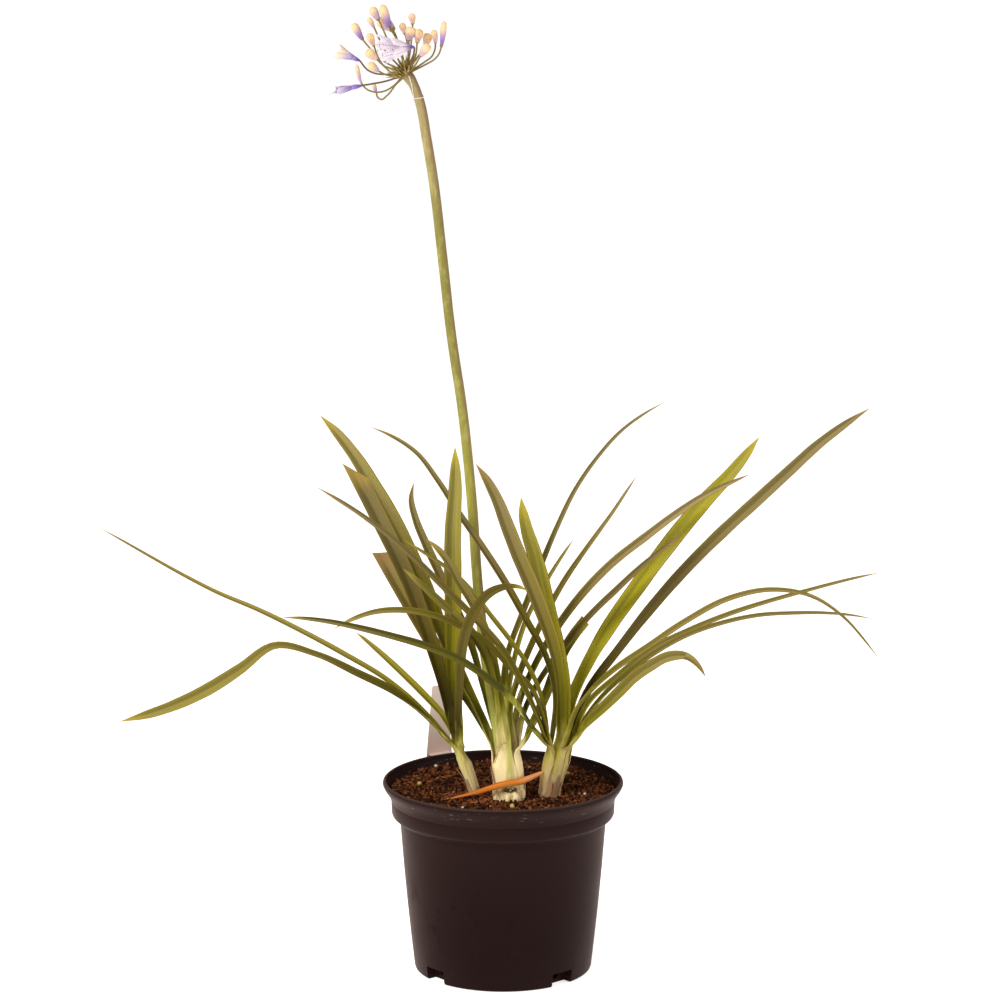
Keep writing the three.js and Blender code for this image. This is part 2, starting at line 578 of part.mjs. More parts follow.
const labelGeometry = toGeometry(labelSolid).translate(0, 0, POT.height)
  .rotateZ(THREE.MathUtils.degToRad(LABEL.bearing + 90));
add('plant_label', labelGeometry, material(0xc9b3ab, 0.5));

export default plant;
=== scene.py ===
# Agapanthus in its black nursery pot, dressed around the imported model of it. Metres, +Z up;
# the origin is the centre of the pot's flat underside and -Y is the front.
import math
import random

import bmesh
import bpy
import numpy as np
from mathutils import Matrix, Vector, noise


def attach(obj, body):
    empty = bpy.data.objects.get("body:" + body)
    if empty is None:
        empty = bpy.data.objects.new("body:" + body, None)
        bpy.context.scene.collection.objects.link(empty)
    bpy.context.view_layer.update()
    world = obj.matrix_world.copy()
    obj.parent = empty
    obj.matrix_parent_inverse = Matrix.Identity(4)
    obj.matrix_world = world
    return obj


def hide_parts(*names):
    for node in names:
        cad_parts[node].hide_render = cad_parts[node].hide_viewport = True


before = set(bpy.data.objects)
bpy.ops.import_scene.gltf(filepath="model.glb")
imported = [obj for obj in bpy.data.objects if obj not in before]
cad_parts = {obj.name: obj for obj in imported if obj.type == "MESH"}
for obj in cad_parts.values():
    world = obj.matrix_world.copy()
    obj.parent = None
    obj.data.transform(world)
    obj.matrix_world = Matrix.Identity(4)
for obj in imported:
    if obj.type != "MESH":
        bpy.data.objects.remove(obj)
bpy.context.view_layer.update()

# ---- camera ----
# It stands in front, level with the flower head, and looks a little down, as a person would who
# takes in the whole plant from a couple of metres away.
LOOK_DOWN = 9.52  # degrees
lens = bpy.data.cameras.new("view")
lens.sensor_width = 36
lens.lens = 107.96
camera = bpy.data.objects.new("view", lens)
camera.location = (-0.0024, -2.3, 0.761)
camera.rotation_euler = (math.radians(90 - LOOK_DOWN), 0, 0)
bpy.context.scene.collection.objects.link(camera)
bpy.context.scene.camera = camera
bpy.context.scene.view_settings.view_transform = "Standard"


# ---- pot ----
# One injection moulding in black plastic with a deep collar and a flared lip. Four drains are
# pressed into the corner of its foot, each with a round hole in its back wall.
def math_method(operation, swapped=False):
    """A method that adds a Math node; swapped puts the value itself second."""
    def method(self, other=0.0):
        first, second = (other, self) if swapped else (self, other)
        return self.graph.add("ShaderNodeMath", {0: first, 1: second}, operation=operation)
    return method


class Value:
    """One output of a node tree; arithmetic on it adds Math nodes."""

    __add__ = __radd__ = math_method("ADD")
    __mul__ = __rmul__ = math_method("MULTIPLY")
    __sub__ = math_method("SUBTRACT")
    __rsub__ = math_method("SUBTRACT", swapped=True)
    __pow__ = math_method("POWER")
    __abs__ = math_method("ABSOLUTE")

    def __init__(self, graph, socket):
        self.graph = graph
        self.socket = socket

    def out(self, name):
        """Another output of the same node."""
        return Value(self.graph, self.socket.node.outputs[name])


class Graph:
    """A node tree, for a material or for geometry, that is written as expressions."""

    def __init__(self, tree):
        self.tree = tree

    def add(self, kind, sockets=None, **settings):
        """A node with its settings made first, then its sockets; returns its first live output."""
        node = self.tree.nodes.new(kind)
        for name, setting in settings.items():
            setattr(node, name, setting)
        for name, value in (sockets or {}).items():
            if isinstance(name, int):
                socket = node.inputs[name]
            else:
                socket = next(s for s in node.inputs if s.enabled and s.name == name)
            if isinstance(value, Value):
                self.tree.links.new(value.socket, socket)
            elif isinstance(value, tuple) and len(value) + 1 == len(socket.default_value):
                socket.default_value = (*value, 1)
            else:
                socket.default_value = value
        live = [s for s in node.outputs if s.enabled]
        return Value(self, live[0]) if live else None

    def split(self, arrow):
        """The X, Y and Z of an arrow."""
        parts = self.add("ShaderNodeSeparateXYZ", {0: arrow})
        return [parts.out(axis) for axis in "XYZ"]

    def arrow(self, x=0.0, y=0.0, z=0.0):
        """One arrow or place from its X, Y and Z."""
        return self.add("ShaderNodeCombineXYZ", {"X": x, "Y": y, "Z": z})

    def blend(self, share, first, second):
        """From the first colour to the second as share goes from 0 to 1."""
        sockets = {"Factor": share, "A": first, "B": second}
        return self.add("ShaderNodeMix", sockets, data_type="RGBA")

    def coats(self, colour, *coats):
        """A colour under coats of others, each given as its share and its colour."""
        for share, coat in coats:
            colour = self.blend(share, colour, coat)
        return colour

    def rise(self, value, low, high):
        """0 below low and 1 above high, with a smooth step between; low may be the larger."""
        sockets = {"Value": value, "From Min": low, "From Max": high}
        return self.add("ShaderNodeMapRange", sockets, interpolation_type="SMOOTHSTEP")

    def speckle(self, place, scale, detail=3.0, roughness=0.5):
        """Noise about 0.5 over a place."""
        sockets = {"Vector": place, "Scale": scale, "Detail": detail, "Roughness": roughness}
        return self.add("ShaderNodeTexNoise", sockets)

    def stretch(self, place, scale):
        """A place scaled by its own amount along each axis."""
        return self.add("ShaderNodeMapping", {"Vector": place, "Scale": scale})

    def bump(self, height, distance, strength=1.0):
        """The way that a surface with this height faces; distance is its full depth in metres."""
        sockets = {"Height": height, "Distance": distance, "Strength": strength}
        return self.add("ShaderNodeBump", sockets)

    def attributes(self, *names):
        """What a mesh carries under each name."""
        return [self.add("ShaderNodeAttribute", attribute_name=name).out("Fac") for name in names]

    def surface(self, colour, roughness, specular, normal, more=None):
        """The finish itself; more holds any other sockets of its shader."""
        shader = self.add("ShaderNodeBsdfPrincipled", {
            "Base Color": colour, "Roughness": roughness, "Specular IOR Level": specular,
            "Normal": normal, **(more or {}),
        })
        self.add("ShaderNodeOutputMaterial", {"Surface": shader})


def blank_material(name):
    """A new material, the graph of its nodes, and where a point is on the object."""
    material = bpy.data.materials.new(name)
    material.use_nodes = True
    material.node_tree.nodes.clear()
    graph = Graph(material.node_tree)
    return material, graph, graph.add("ShaderNodeTexCoord").out("Object")


def add_object(name, mesh):
    piece = bpy.data.objects.new(name, mesh)
    bpy.context.scene.collection.objects.link(piece)
    return piece


def keep_mesh(name, shape):
    """The bmesh as a mesh; the bmesh is used up."""
    mesh = bpy.data.meshes.new(name)
    shape.to_mesh(mesh)
    shape.free()
    return mesh


def keep_solid(name, shape):
    """A bmesh in millimetres, turned into an object in metres with its faces outwards."""
    bmesh.ops.scale(shape, vec=(0.001, 0.001, 0.001), verts=shape.verts)
    bmesh.ops.recalc_face_normals(shape, faces=shape.faces)
    return add_object(name, keep_mesh(name, shape))


def lathe(name, profile, sides):
    """A closed body turned round Z, from pole to pole, through points of radius and height."""
    shape = bmesh.new()
    rings = []
    for radius, height in profile:
        turns = [2 * math.pi * k / sides for k in range(sides if radius else 1)]
        rings.append([
            shape.verts.new((radius * math.cos(t), radius * math.sin(t), height)) for t in turns
        ])
    for low, high in zip(rings, rings[1:]):
        for k in range(sides):
            corners = [low[k % len(low)], low[(k + 1) % len(low)]]
            corners += [high[(k + 1) % len(high)], high[k % len(high)]]
            shape.faces.new(list(dict.fromkeys(corners)))  # at a pole, two of the four are one
    return keep_solid(name, shape)


def combine(body, tool, operation):
    """Joins the tool to the body, cuts it out or keeps what they share; the tool is used up."""
    step = body.modifiers.new(operation, "BOOLEAN")
    step.operation = operation
    step.solver = "EXACT"
    step.object = tool
    depsgraph = bpy.context.evaluated_depsgraph_get()
    body.data = bpy.data.meshes.new_from_object(body.evaluated_get(depsgraph))
    body.modifiers.clear()
    bpy.data.objects.remove(tool)


def ride_as(piece, slot, *nodes):
    """The piece rides on the plant's one body, in place of the nodes named."""
    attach(piece, "root")
    if nodes:
        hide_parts(*nodes)


POT_SIDES = 144
# The pot's profile as radius and height in millimetres: up its outside to the top of the lip,
# then down its inside to the floor.
POT_OUTSIDE = [
    (0, 0), (62, 0), (68.8, 0), (69.9, 0.5), (70.4, 2), (73.2, 27), (75.8, 52), (78.5, 82),
    (81.2, 116.5), (81.5, 120), (84.6, 122.5), (86.8, 124.2), (87.6, 125.2), (88, 126.4),
    (88.3, 135), (88.1, 135.7), (88.5, 136.5), (89, 138.2), (90, 140.8), (91.4, 143),
    (93, 145.2), (94.2, 147.2), (94.9, 148.9), (95, 149.9), (94.7, 151), (94.1, 151.6), (93.3, 152),
]
POT_INSIDE = [
    (92.6, 151.9), (92.2, 151.2), (92.1, 150.2), (91.6, 148.2), (90, 143.9), (88.4, 141),
    (87.4, 138.8), (86.7, 136.8), (86.3, 134), (86.2, 128), (85.8, 125.6), (81.6, 122.8),
    (80.3, 121.8), (79.8, 120.5), (74.2, 52), (68.8, 4), (68, 2.8), (66.4, 2.2), (0, 2.2),
]
LEDGE_HEIGHTS = (120, 124.2)  # the ledge under the collar
LEDGE_INSIDE = 82
DRAIN_WIDTH = 20
DRAIN_HEIGHT = 11
DRAIN_BEARING = 41  # degrees from the front
DRAIN_FLOOR = 61.4  # how far the back of a drain is from the pot's axis
DRAIN_WALL = 1.6
DRAIN_REACH = 24
DRAIN_ROUNDING = 1.4
HOLE_RADIUS = 3.5
HOLE_HEIGHT = 6.5
HOLE_REACH = 8


def drain_tool(name, grow, hole=False):
    """Four tools on the drains' bearings: rounded blocks, or the round holes behind them."""
    shape = bmesh.new()
    for quarter in range(4):
        turn = Matrix.Rotation(math.radians(DRAIN_BEARING + 90 * quarter), 4, "Z")
        if hole:
            place = Matrix.Translation((0, -DRAIN_FLOOR, HOLE_HEIGHT))
            bmesh.ops.create_cone(
                shape, cap_ends=True, segments=20, radius1=HOLE_RADIUS, radius2=HOLE_RADIUS,
                depth=HOLE_REACH, matrix=turn @ place @ Matrix.Rotation(math.pi / 2, 4, "X"),
            )
            continue
        place = Matrix.Translation((0, grow - DRAIN_FLOOR - DRAIN_REACH / 2, 0))
        size = (DRAIN_WIDTH + 2 * grow, DRAIN_REACH, 2 * (DRAIN_HEIGHT + grow), 1)
        made = bmesh.ops.create_cube(shape, size=1, matrix=turn @ place @ Matrix.Diagonal(size))
        edges = [edge for edge in shape.edges if edge.verts[0] in made["verts"]]
        bmesh.ops.bevel(
            shape, geom=edges, offset=DRAIN_ROUNDING + grow, segments=3, profile=0.5,
            affect="EDGES",
        )
    return keep_solid(name, shape)


def pot_plastic(name, sheen):
    """Black plastic, scuffed and stained, with painted light towards its top and a painted
    highlight along its lip; sheen is how much light it takes at a slant.
    """
    material, graph, place = blank_material(name)
    x, _, height = graph.split(place)
    cloud = graph.speckle(place, 34, 4)
    smears = graph.speckle(graph.stretch(place, (1, 1, 0.55)), 62, 6, 0.7)
    smears = graph.rise(smears, 0.56, 0.7)
    low_smears = smears * graph.rise(height, 0.1, 0.06) * graph.rise(height, 0.008, 0.02)
    low_smears = low_smears * graph.rise(x, 0.03, -0.02)
    scratches = graph.speckle(graph.stretch(place, (1, 1, 9)), 85, 5, 0.62)
    scratches = graph.rise(scratches, 0.63, 0.69) * graph.rise(height, 0.1375, 0.1405)
    scratches = scratches * graph.rise(height, 0.151, 0.147)
    dust = graph.rise(graph.speckle(place, 700, 2), 0.7, 0.8)
    # the top of the lip is lighter: partly wear, partly a painted highlight along its edge
    worn_lip_and_painted_highlight = graph.rise(height, 0.1503, 0.1518)
    colour = graph.coats(
        (0.005, 0.0014, 0.0013), (cloud, (0.0085, 0.003, 0.0028)),
        # lighter towards the top: painted light standing in for how the light falls on the collar
        (graph.rise(height, 0.03, 0.15) * 0.6, (0.0155, 0.0075, 0.0072)),
        (low_smears * 0.9, (0.001, 0.0005, 0.0005)), (scratches * 0.75, (0.2, 0.17, 0.16)),
        (dust * 0.12, (0.2, 0.17, 0.15)), (worn_lip_and_painted_highlight * 0.35, (0.09, 0.07, 0.066)),
    )
    roughness = 0.36 + cloud * 0.14 + scratches * 0.25 + low_smears * 0.12
    grain = graph.bump(graph.speckle(place, 1500, 2) + smears * 0.4, 0.00012, 0.5)
    graph.surface(colour, roughness, 0.045, grain, {
        "Sheen Weight": sheen, "Sheen Roughness": 0.5, "Sheen Tint": (1, 0.35, 0.3),
    })
    return material


pot_shell = lathe("pot_shell", POT_OUTSIDE + POT_INSIDE, POT_SIDES)
drain_walls = lathe("drain_walls", [*POT_OUTSIDE, (0, 152)], POT_SIDES)
combine(drain_walls, drain_tool("walls", DRAIN_WALL), "INTERSECT")
combine(pot_shell, drain_walls, "UNION")
combine(pot_shell, drain_tool("recesses", 0), "DIFFERENCE")
combine(pot_shell, drain_tool("holes", 0, hole=True), "DIFFERENCE")
pot_shell.data.materials.clear()
pot_shell.data.materials.append(pot_plastic("black_pot_plastic", 0.065))
# the ledge under the collar takes a copy with little sheen: painted shade, as the dark line of the
# collar's shadow
pot_shell.data.materials.append(pot_plastic("black_plastic_painted_shade_under_collar", 0.012))
for face in pot_shell.data.polygons:
    middle = face.center * 1000
    on_ledge = LEDGE_HEIGHTS[0] < middle.z < LEDGE_HEIGHTS[1]
    if on_ledge and math.hypot(middle.x, middle.y) > LEDGE_INSIDE:
        face.material_index = 1
pot_shell.data.shade_smooth()
pot_shell.data.set_sharp_from_angle(angle=math.radians(38))
ride_as(pot_shell, "pot", "pot")


# ---- soil ----
# Coarse brown compost, filled to 8 mm under the lip and slightly domed. Crumbs, short fibres and
# grains of grit lie loose on it, with a few larger perlite grains and feed prills.
def geometry_tree(name, inputs):
    """A Geometry Nodes tree with named inputs, as its graph and what its inputs give."""
    tree = bpy.data.node_groups.new(name, "GeometryNodeTree")
    for label, kind in {"Geometry": "Geometry", **inputs}.items():
        tree.interface.new_socket(label, in_out="INPUT", socket_type="NodeSocket" + kind)
    tree.interface.new_socket("Geometry", in_out="OUTPUT", socket_type="NodeSocketGeometry")
    graph = Graph(tree)
    given = graph.add("NodeGroupInput")
    return graph, {label: given.out(label) for label in ["Geometry", *inputs]}


def grow(name, graph, mesh, inputs):
    """The piece that a tree makes from a mesh and its named inputs, as a plain mesh."""
    seedling = add_object(name, mesh)
    step = seedling.modifiers.new(name, "NODES")
    step.node_group = graph.tree
    for socket in graph.tree.interface.items_tree:
        if socket.in_out == "INPUT" and socket.name in inputs:
            step[socket.identifier] = inputs[socket.name]
    depsgraph = bpy.context.evaluated_depsgraph_get()
    made = bpy.data.meshes.new_from_object(seedling.evaluated_get(depsgraph))
    bpy.data.objects.remove(seedling)
    made.name = name
    return add_object(name, made)


def compost_finish(name, dark, warm):
    """Matt fibrous matter from dark to warm; each loose grain has its own share of the two."""
    material, graph, place = blank_material(name)
    grain, = graph.attributes("grain")
    share = grain * 0.65 + graph.speckle(place, 420, 4, 0.6) * 0.35
    damp = graph.rise(graph.speckle(place, 55, 3), 0.35, 0.65)
    colour = graph.coats(
        dark, (graph.rise(share, 0.2, 0.8), warm), (damp * 0.5, tuple(part * 0.4 for part in dark)),
    )
    fuzz = graph.bump(graph.speckle(place, 1900, 4, 0.7), 0.0005)
    graph.surface(colour, 0.95, 0.08, fuzz)
    return material


SOIL_SIDES = 220
SOIL_RIM = 89
SOIL_LEVEL = 144
SOIL_DOME = 1.2
SOIL_STEP = 1.5
SOIL_RINGS = 59
# The soil's profile as radius and height in millimetres: up its side, then in over its top.
SOIL_BODY = [
    (0, 2.6), (58, 2.6), (58, 13.6), (67.8, 16.6), (73.4, 52), (77.8, 119), (85, 128.6),
    (85.5, 134), (86.5, 139), (SOIL_RIM, 143.8),
]
SOIL_TOP = [
    (SOIL_RIM - SOIL_STEP * k, SOIL_LEVEL + SOIL_DOME * (1 - (1 - SOIL_STEP * k / SOIL_RIM) ** 2))
    for k in range(SOIL_RINGS)
]
soil_profile = [*SOIL_BODY, *SOIL_TOP, (0, SOIL_LEVEL + SOIL_DOME)]
soil_bed = lathe("soil_bed", soil_profile, SOIL_SIDES)
for corner in soil_bed.data.vertices:
    if corner.co.z > (SOIL_LEVEL - 0.1) / 1000:
        lumps = noise.fractal(corner.co * 90, 0.8, 2.1, 5)
        corner.co.z += 0.0013 * lumps + 0.0006 * noise.noise(corner.co * 700)
soil_bed.data.materials.append(
    compost_finish("damp_compost", (0.03, 0.009, 0.0035), (0.09, 0.03, 0.012))
)
soil_bed.data.shade_smooth()
ride_as(soil_bed, "soil", "soil")

scatter, given = geometry_tree("loose_grains", {
    "Density": "Float", "Smallest": "Float", "Largest": "Float", "Slimness": "Float",
    "Tilt": "Float", "Height": "Float", "Seed": "Int", "Finish": "Material",
})


def chance(low, high, step):
    """A random value for each grain."""
    sockets = {"Min": low, "Max": high, "Seed": given["Seed"] + step}
    return scatter.add("FunctionNodeRandomValue", sockets, data_type="FLOAT")


GRAIN_LIMIT = 0.0878  # how far from the axis loose grains lie
# Each selection takes what is above 0: faces that look up, and then places inside the limit.
facing_up = scatter.split(scatter.add("GeometryNodeInputNormal"))[2] - 0.5
spots = scatter.add("GeometryNodeDistributePointsOnFaces", {
    "Mesh": given["Geometry"], "Selection": facing_up,
    "Density": given["Density"], "Seed": given["Seed"],
})
x, y, _ = scatter.split(scatter.add("GeometryNodeInputPosition"))
inside = GRAIN_LIMIT - (x * x + y * y) ** 0.5
size = given["Smallest"] + (given["Largest"] - given["Smallest"]) * chance(0.0, 1.0, 1) ** 3
stout = given["Slimness"] * chance(0.75, 1.25, 2)
scale = scatter.arrow(size, size * stout, size * stout * chance(0.6, 1.0, 3))
turn = scatter.arrow(
    given["Tilt"] * chance(-1.0, 1.0, 4), given["Tilt"] * chance(-1.0, 1.0, 5),
    chance(0.0, 2 * math.pi, 6),
)
crumb = scatter.add("GeometryNodeMeshIcoSphere", {"Radius": 0.5, "Subdivisions": 1})
rough = scatter.add("ShaderNodeTexNoise", {"Scale": 3.1}).out("Color")
rough = scatter.add("ShaderNodeVectorMath", {0: rough, 1: (0.5,) * 3}, operation="SUBTRACT")
crumb = scatter.add("GeometryNodeSetPosition", {"Geometry": crumb, "Offset": rough})
raised = scatter.arrow(z=size * given["Height"])
spots = scatter.add("GeometryNodeSetPosition", {"Geometry": spots, "Offset": raised})
grains = scatter.add("GeometryNodeInstanceOnPoints", {
    "Points": spots, "Selection": inside, "Instance": crumb, "Rotation": turn, "Scale": scale,
})
grains = scatter.add(
    "GeometryNodeStoreNamedAttribute",
    {"Geometry": grains, "Name": "grain", "Value": chance(0.0, 1.0, 7)},
    data_type="FLOAT", domain="INSTANCE",
)
grains = scatter.add("GeometryNodeRealizeInstances", {"Geometry": grains})
finished = {"Geometry": grains, "Material": given["Finish"]}
scatter.add("NodeGroupOutput", {"Geometry": scatter.add("GeometryNodeSetMaterial", finished)})

# Each kind of loose grain: how many to a square metre, smallest and largest length in metres,
# thickness for its length, tilt in radians, lift for its length, dark and warm colours.
LOOSE_GRAINS = {
    "soil_crumbs": (
        300000, 0.0008, 0.0042, 0.75, 3.1, 0.12, (0.014, 0.004, 0.0015), (0.24, 0.08, 0.03),
    ),
    "soil_fibres": (
        36000, 0.003, 0.013, 0.1, 0.25, 0.04, (0.05, 0.014, 0.005), (0.46, 0.16, 0.055),
    ),
    "soil_grit": (1500, 0.001, 0.0024, 0.85, 3.1, 0.3, (0.3, 0.2, 0.12), (0.5, 0.38, 0.25)),
}
MEASURES = ("Density", "Smallest", "Largest", "Slimness", "Tilt", "Height")
for seed, (name, (*measures, dark, warm)) in enumerate(LOOSE_GRAINS.items()):
    inputs = dict(zip(MEASURES, measures))
    inputs |= {"Seed": 40 + 10 * seed, "Finish": compost_finish(name, dark, warm)}
    ride_as(grow(name, scatter, soil_bed.data, inputs), "soil")

# Where each perlite grain or prill of slow feed lies, its radius, and how yellow it is.
PELLETS = [
    (-0.0543, 0.0649, 0.0014, 0), (0.0069, -0.06, 0.0019, 1), (0.052, 0.04, 0.0016, 1),
    (-0.031, -0.062, 0.0012, 0), (0.064, -0.021, 0.0011, 0), (-0.066, 0.008, 0.0018, 1),
    (0.012, 0.068, 0.0013, 0),
]
feed_pellet, graph, place = blank_material("feed_pellet")
yellow, = graph.attributes("yellow")
crust = graph.speckle(place, 900, 4, 0.6)
colour = graph.coats(
    (0.62, 0.55, 0.46), (yellow, (0.5, 0.42, 0.12)),
    (graph.rise(crust, 0.45, 0.7) * 0.6, (0.2, 0.1, 0.04)),
)
graph.surface(colour, 0.6 + crust * 0.2, 0.25, graph.bump(crust, 0.0003))
pellets = bmesh.new()
tint = pellets.verts.layers.float.new("yellow")
for x, y, radius, yellow in PELLETS:
    place = Matrix.Translation((x, y, SOIL_LEVEL / 1000 + 0.0006 + radius * 0.7))
    made = bmesh.ops.create_icosphere(pellets, subdivisions=3, radius=radius, matrix=place)
    for corner in made["verts"]:
        corner.co += corner.normal * radius * 0.35 * noise.noise(corner.co * 500)
        corner[tint] = yellow
mesh = keep_mesh("soil_pellets", pellets)
mesh.materials.append(feed_pellet)
mesh.shade_smooth()
ride_as(add_object("soil_pellets", mesh), "soil")


# ---- shoots ----
# Three thick bases of tightly wrapped leaf sheaths, pale and fleshy where they leave the soil.
# Old outer sheaths have dried to brown scales, and the middle shoot's foot is torn and ragged.
sweep, given = geometry_tree("swept_growth", {
    "Sides": "Int", "Crest": "Float", "Finish": "Material",
})


def carried(name, kind="FLOAT"):
    """What the points of the line that is swept along carry under a name."""
    return sweep.add("GeometryNodeInputNamedAttribute", {"Name": name}, data_type=kind)


def moved(spot, name, amount):
    """A spot moved by an amount along an arrow that the line carries."""
    arrow = {0: carried(name, "FLOAT_VECTOR"), "Scale": amount}
    arrow = sweep.add("ShaderNodeVectorMath", arrow, operation="SCALE")
    return sweep.add("ShaderNodeVectorMath", {0: spot, 1: arrow}, operation="ADD")


def remember(geometry, name, value, kind="FLOAT"):
    sockets = {"Geometry": geometry, "Name": name, "Value": value}
    return sweep.add("GeometryNodeStoreNamedAttribute", sockets, data_type=kind, domain="POINT")


section = {"Resolution": given["Sides"], "Radius": 1}
section = sweep.add("GeometryNodeCurvePrimitiveCircle", section)
here = sweep.add("GeometryNodeInputPosition")
skin = sweep.add("GeometryNodeCurveToMesh", {
    "Curve": sweep.add("GeometryNodeMeshToCurve", {"Mesh": given["Geometry"]}),
    "Profile Curve": remember(section, "ring", here, "FLOAT_VECTOR"), "Fill Caps": True,
})
wide, under, _ = sweep.split(carried("ring", "FLOAT_VECTOR"))
uneven = sweep.speckle(
    sweep.arrow(wide * 2.4, under * 2.4, carried("run") * 34 + carried("seed")), 1.0, 3
)
bulk = 1 + carried("ridge") * (uneven - 0.5)
rise = carried("fold") * abs(wide) ** given["Crest"] + carried("thick") * under * bulk
spot = moved(carried("spine", "FLOAT_VECTOR"), "across", carried("half") * wide * bulk)
spot = moved(moved(spot, "lift", rise), "shear", wide)
skin = sweep.add("GeometryNodeSetPosition", {"Geometry": skin, "Position": spot})
skin = remember(remember(skin, "wide", wide), "under", under)
skin = sweep.add("GeometryNodeSetShadeSmooth", {"Geometry": skin})
skin = sweep.add("GeometryNodeRealizeInstances", {"Geometry": skin})
finished = {"Geometry": skin, "Material": given["Finish"]}
sweep.add("NodeGroupOutput", {"Geometry": sweep.add("GeometryNodeSetMaterial", finished)})


def unit(arrows):
    arrows = np.asarray(arrows, float)
    return arrows / np.linalg.norm(arrows, axis=-1, keepdims=True)


def refine(knots, values, at):
    """Values between knots, on a smooth curve through them."""
    knots, values = np.asarray(knots, float), np.asarray(values, float)
    slopes = np.gradient(values, knots, axis=0)
    k = np.clip(np.searchsorted(knots, at) - 1, 0, len(knots) - 2)
    step = knots[k + 1] - knots[k]
    t = (at - knots[k]) / step
    if values.ndim == 2:
        t, step = t[:, None], step[:, None]
    start = (2 * t ** 3 - 3 * t ** 2 + 1) * values[k] + (t ** 3 - 2 * t ** 2 + t) * step * slopes[k]
    end = (3 * t ** 2 - 2 * t ** 3) * values[k + 1] + (t ** 3 - t ** 2) * step * slopes[k + 1]
    return start + end


def run_of(points):
    """How far along a line each of its points is."""
    return np.concatenate([[0], np.cumsum(np.linalg.norm(np.diff(points, axis=0), axis=1))])


def smooth_line(points, count, crowd=1.0):
    """A line of count points through a few; crowd above 1 sets them closer towards its end."""
    points = np.asarray(points, float)
    knots = run_of(points)
    return refine(knots, points, knots[-1] * (1 - (1 - np.linspace(0, 1, count)) ** crowd))


def chain(spine, half, thick, fold=0.0, lift=None, ridge=0.0, seed=0.0, **finish):
    """One swept growth: its line, and at each point its upward side, sizes and finish."""
    along = unit(np.gradient(spine, axis=0))
    if lift is None:
        lift = [np.cross(along[0], (0.31, 0.95, 0.1))]
        for direction in along[1:]:
            lift.append(lift[-1] - direction * np.dot(lift[-1], direction))
    lift = np.broadcast_to(lift, spine.shape)
    lift = unit(lift - along * np.sum(lift * along, axis=1, keepdims=True))
    carried_values = {"half": half, "thick": thick, "fold": fold, "ridge": ridge, "seed": seed}
    carried_values |= {"run": run_of(spine), **finish}
    points = {"spine": spine, "lift": lift, "across": np.cross(lift, along)}
    for name, value in carried_values.items():
        points[name] = np.broadcast_to(np.asarray(value, float), len(spine))
    return points


def grow_chains(name, chains, finish, sides, crest=1.6):
    """One piece of all the chains, each swept into a closed growth."""
    starts = np.cumsum([0] + [len(points["spine"]) for points in chains])
    edges = [(k, k + 1) for start, end in zip(starts, starts[1:]) for k in range(start, end - 1)]
    mesh = bpy.data.meshes.new(name)
    mesh.from_pydata(np.concatenate([points["spine"] for points in chains]).tolist(), edges, [])
    for label in chains[0]:
        values = np.concatenate([points[label] for points in chains])
        kind, key = ("FLOAT_VECTOR", "vector") if values.ndim == 2 else ("FLOAT", "value")
        mesh.attributes.new(label, kind, "POINT").data.foreach_set(key, values.ravel())
    piece = grow(name, sweep, mesh, {"Sides": sides, "Crest": crest, "Finish": finish})
    shape = bmesh.new()
    shape.from_mesh(piece.data)
    bmesh.ops.recalc_face_normals(shape, faces=shape.faces)
    shape.to_mesh(piece.data)
    shape.free()
    return piece


def rings_of(node, sides, base):
    """A node's far tip, if it has one, its whole rings from there on, and its other points."""
    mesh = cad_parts[node].data
    corners = np.array([corner.co for corner in mesh.vertices]).round(6)
    spots, same = np.unique(corners, axis=0, return_inverse=True)
    same = same.ravel()
    near = [set() for _ in spots]
    for edge in mesh.edges:
        first, second = same[list(edge.vertices)]
        near[first].add(second)
        near[second].add(first)
    reach = np.linalg.norm(spots - base, axis=1)
    starts = [[k] for k in range(len(spots)) if len(near[k]) == sides]
    starts.append(list(np.argsort(reach)[-sides:]))
    best = (0,)
    for start in starts:
        layers = [set(start)]
        seen = set(start)
        ahead = set().union(*(near[k] for k in start)) - seen
        while len(ahead) == sides:
            layers.append(ahead)
            seen |= ahead
            ahead = set().union(*(near[k] for k in ahead)) - seen
        whole = sum(len(layer) == sides for layer in layers)
        if (whole, reach[start[0]]) > best[:2]:
            best = (whole, reach[start[0]], start, layers, seen)
    start, layers, seen = best[2:]
    rings = [spots[sorted(layer)] for layer in layers if len(layer) == sides]
    others = spots[[k for k in range(len(spots)) if k not in seen]]
    return (spots[start[0]] if len(start) == 1 else None), rings, others


shoot_forms = {}  # the middle and the spread of each of a shoot's rings, from its foot up
for side in ("left", "middle", "right"):
    rings = rings_of(f"shoot_{side}", sides=10, base=np.zeros(3))[1][::-1]
    middles = np.array([ring.mean(axis=0) for ring in rings])
    spreads = np.array([2 * np.cov(ring[:, :2].T, bias=True) for ring in rings])
    shoot_forms[side] = (middles, spreads)


def shoot_skin(side, height, facing, proud=0.0):
    """The point on a shoot's skin at a height, facing a way, and the skin's radius there."""
    middles, spreads = shoot_forms[side]
    middle = [np.interp(height, middles[:, 2], middles[:, k]) for k in range(2)]
    spread = [
        [np.interp(height, middles[:, 2], spreads[:, i, j]) for j in range(2)] for i in range(2)
    ]
    facing = np.asarray(facing[:2]) / np.linalg.norm(facing[:2])
    radius = (facing @ np.linalg.inv(spread) @ facing) ** -0.5
    return np.array([*(middle + facing * (radius + proud)), height]), radius


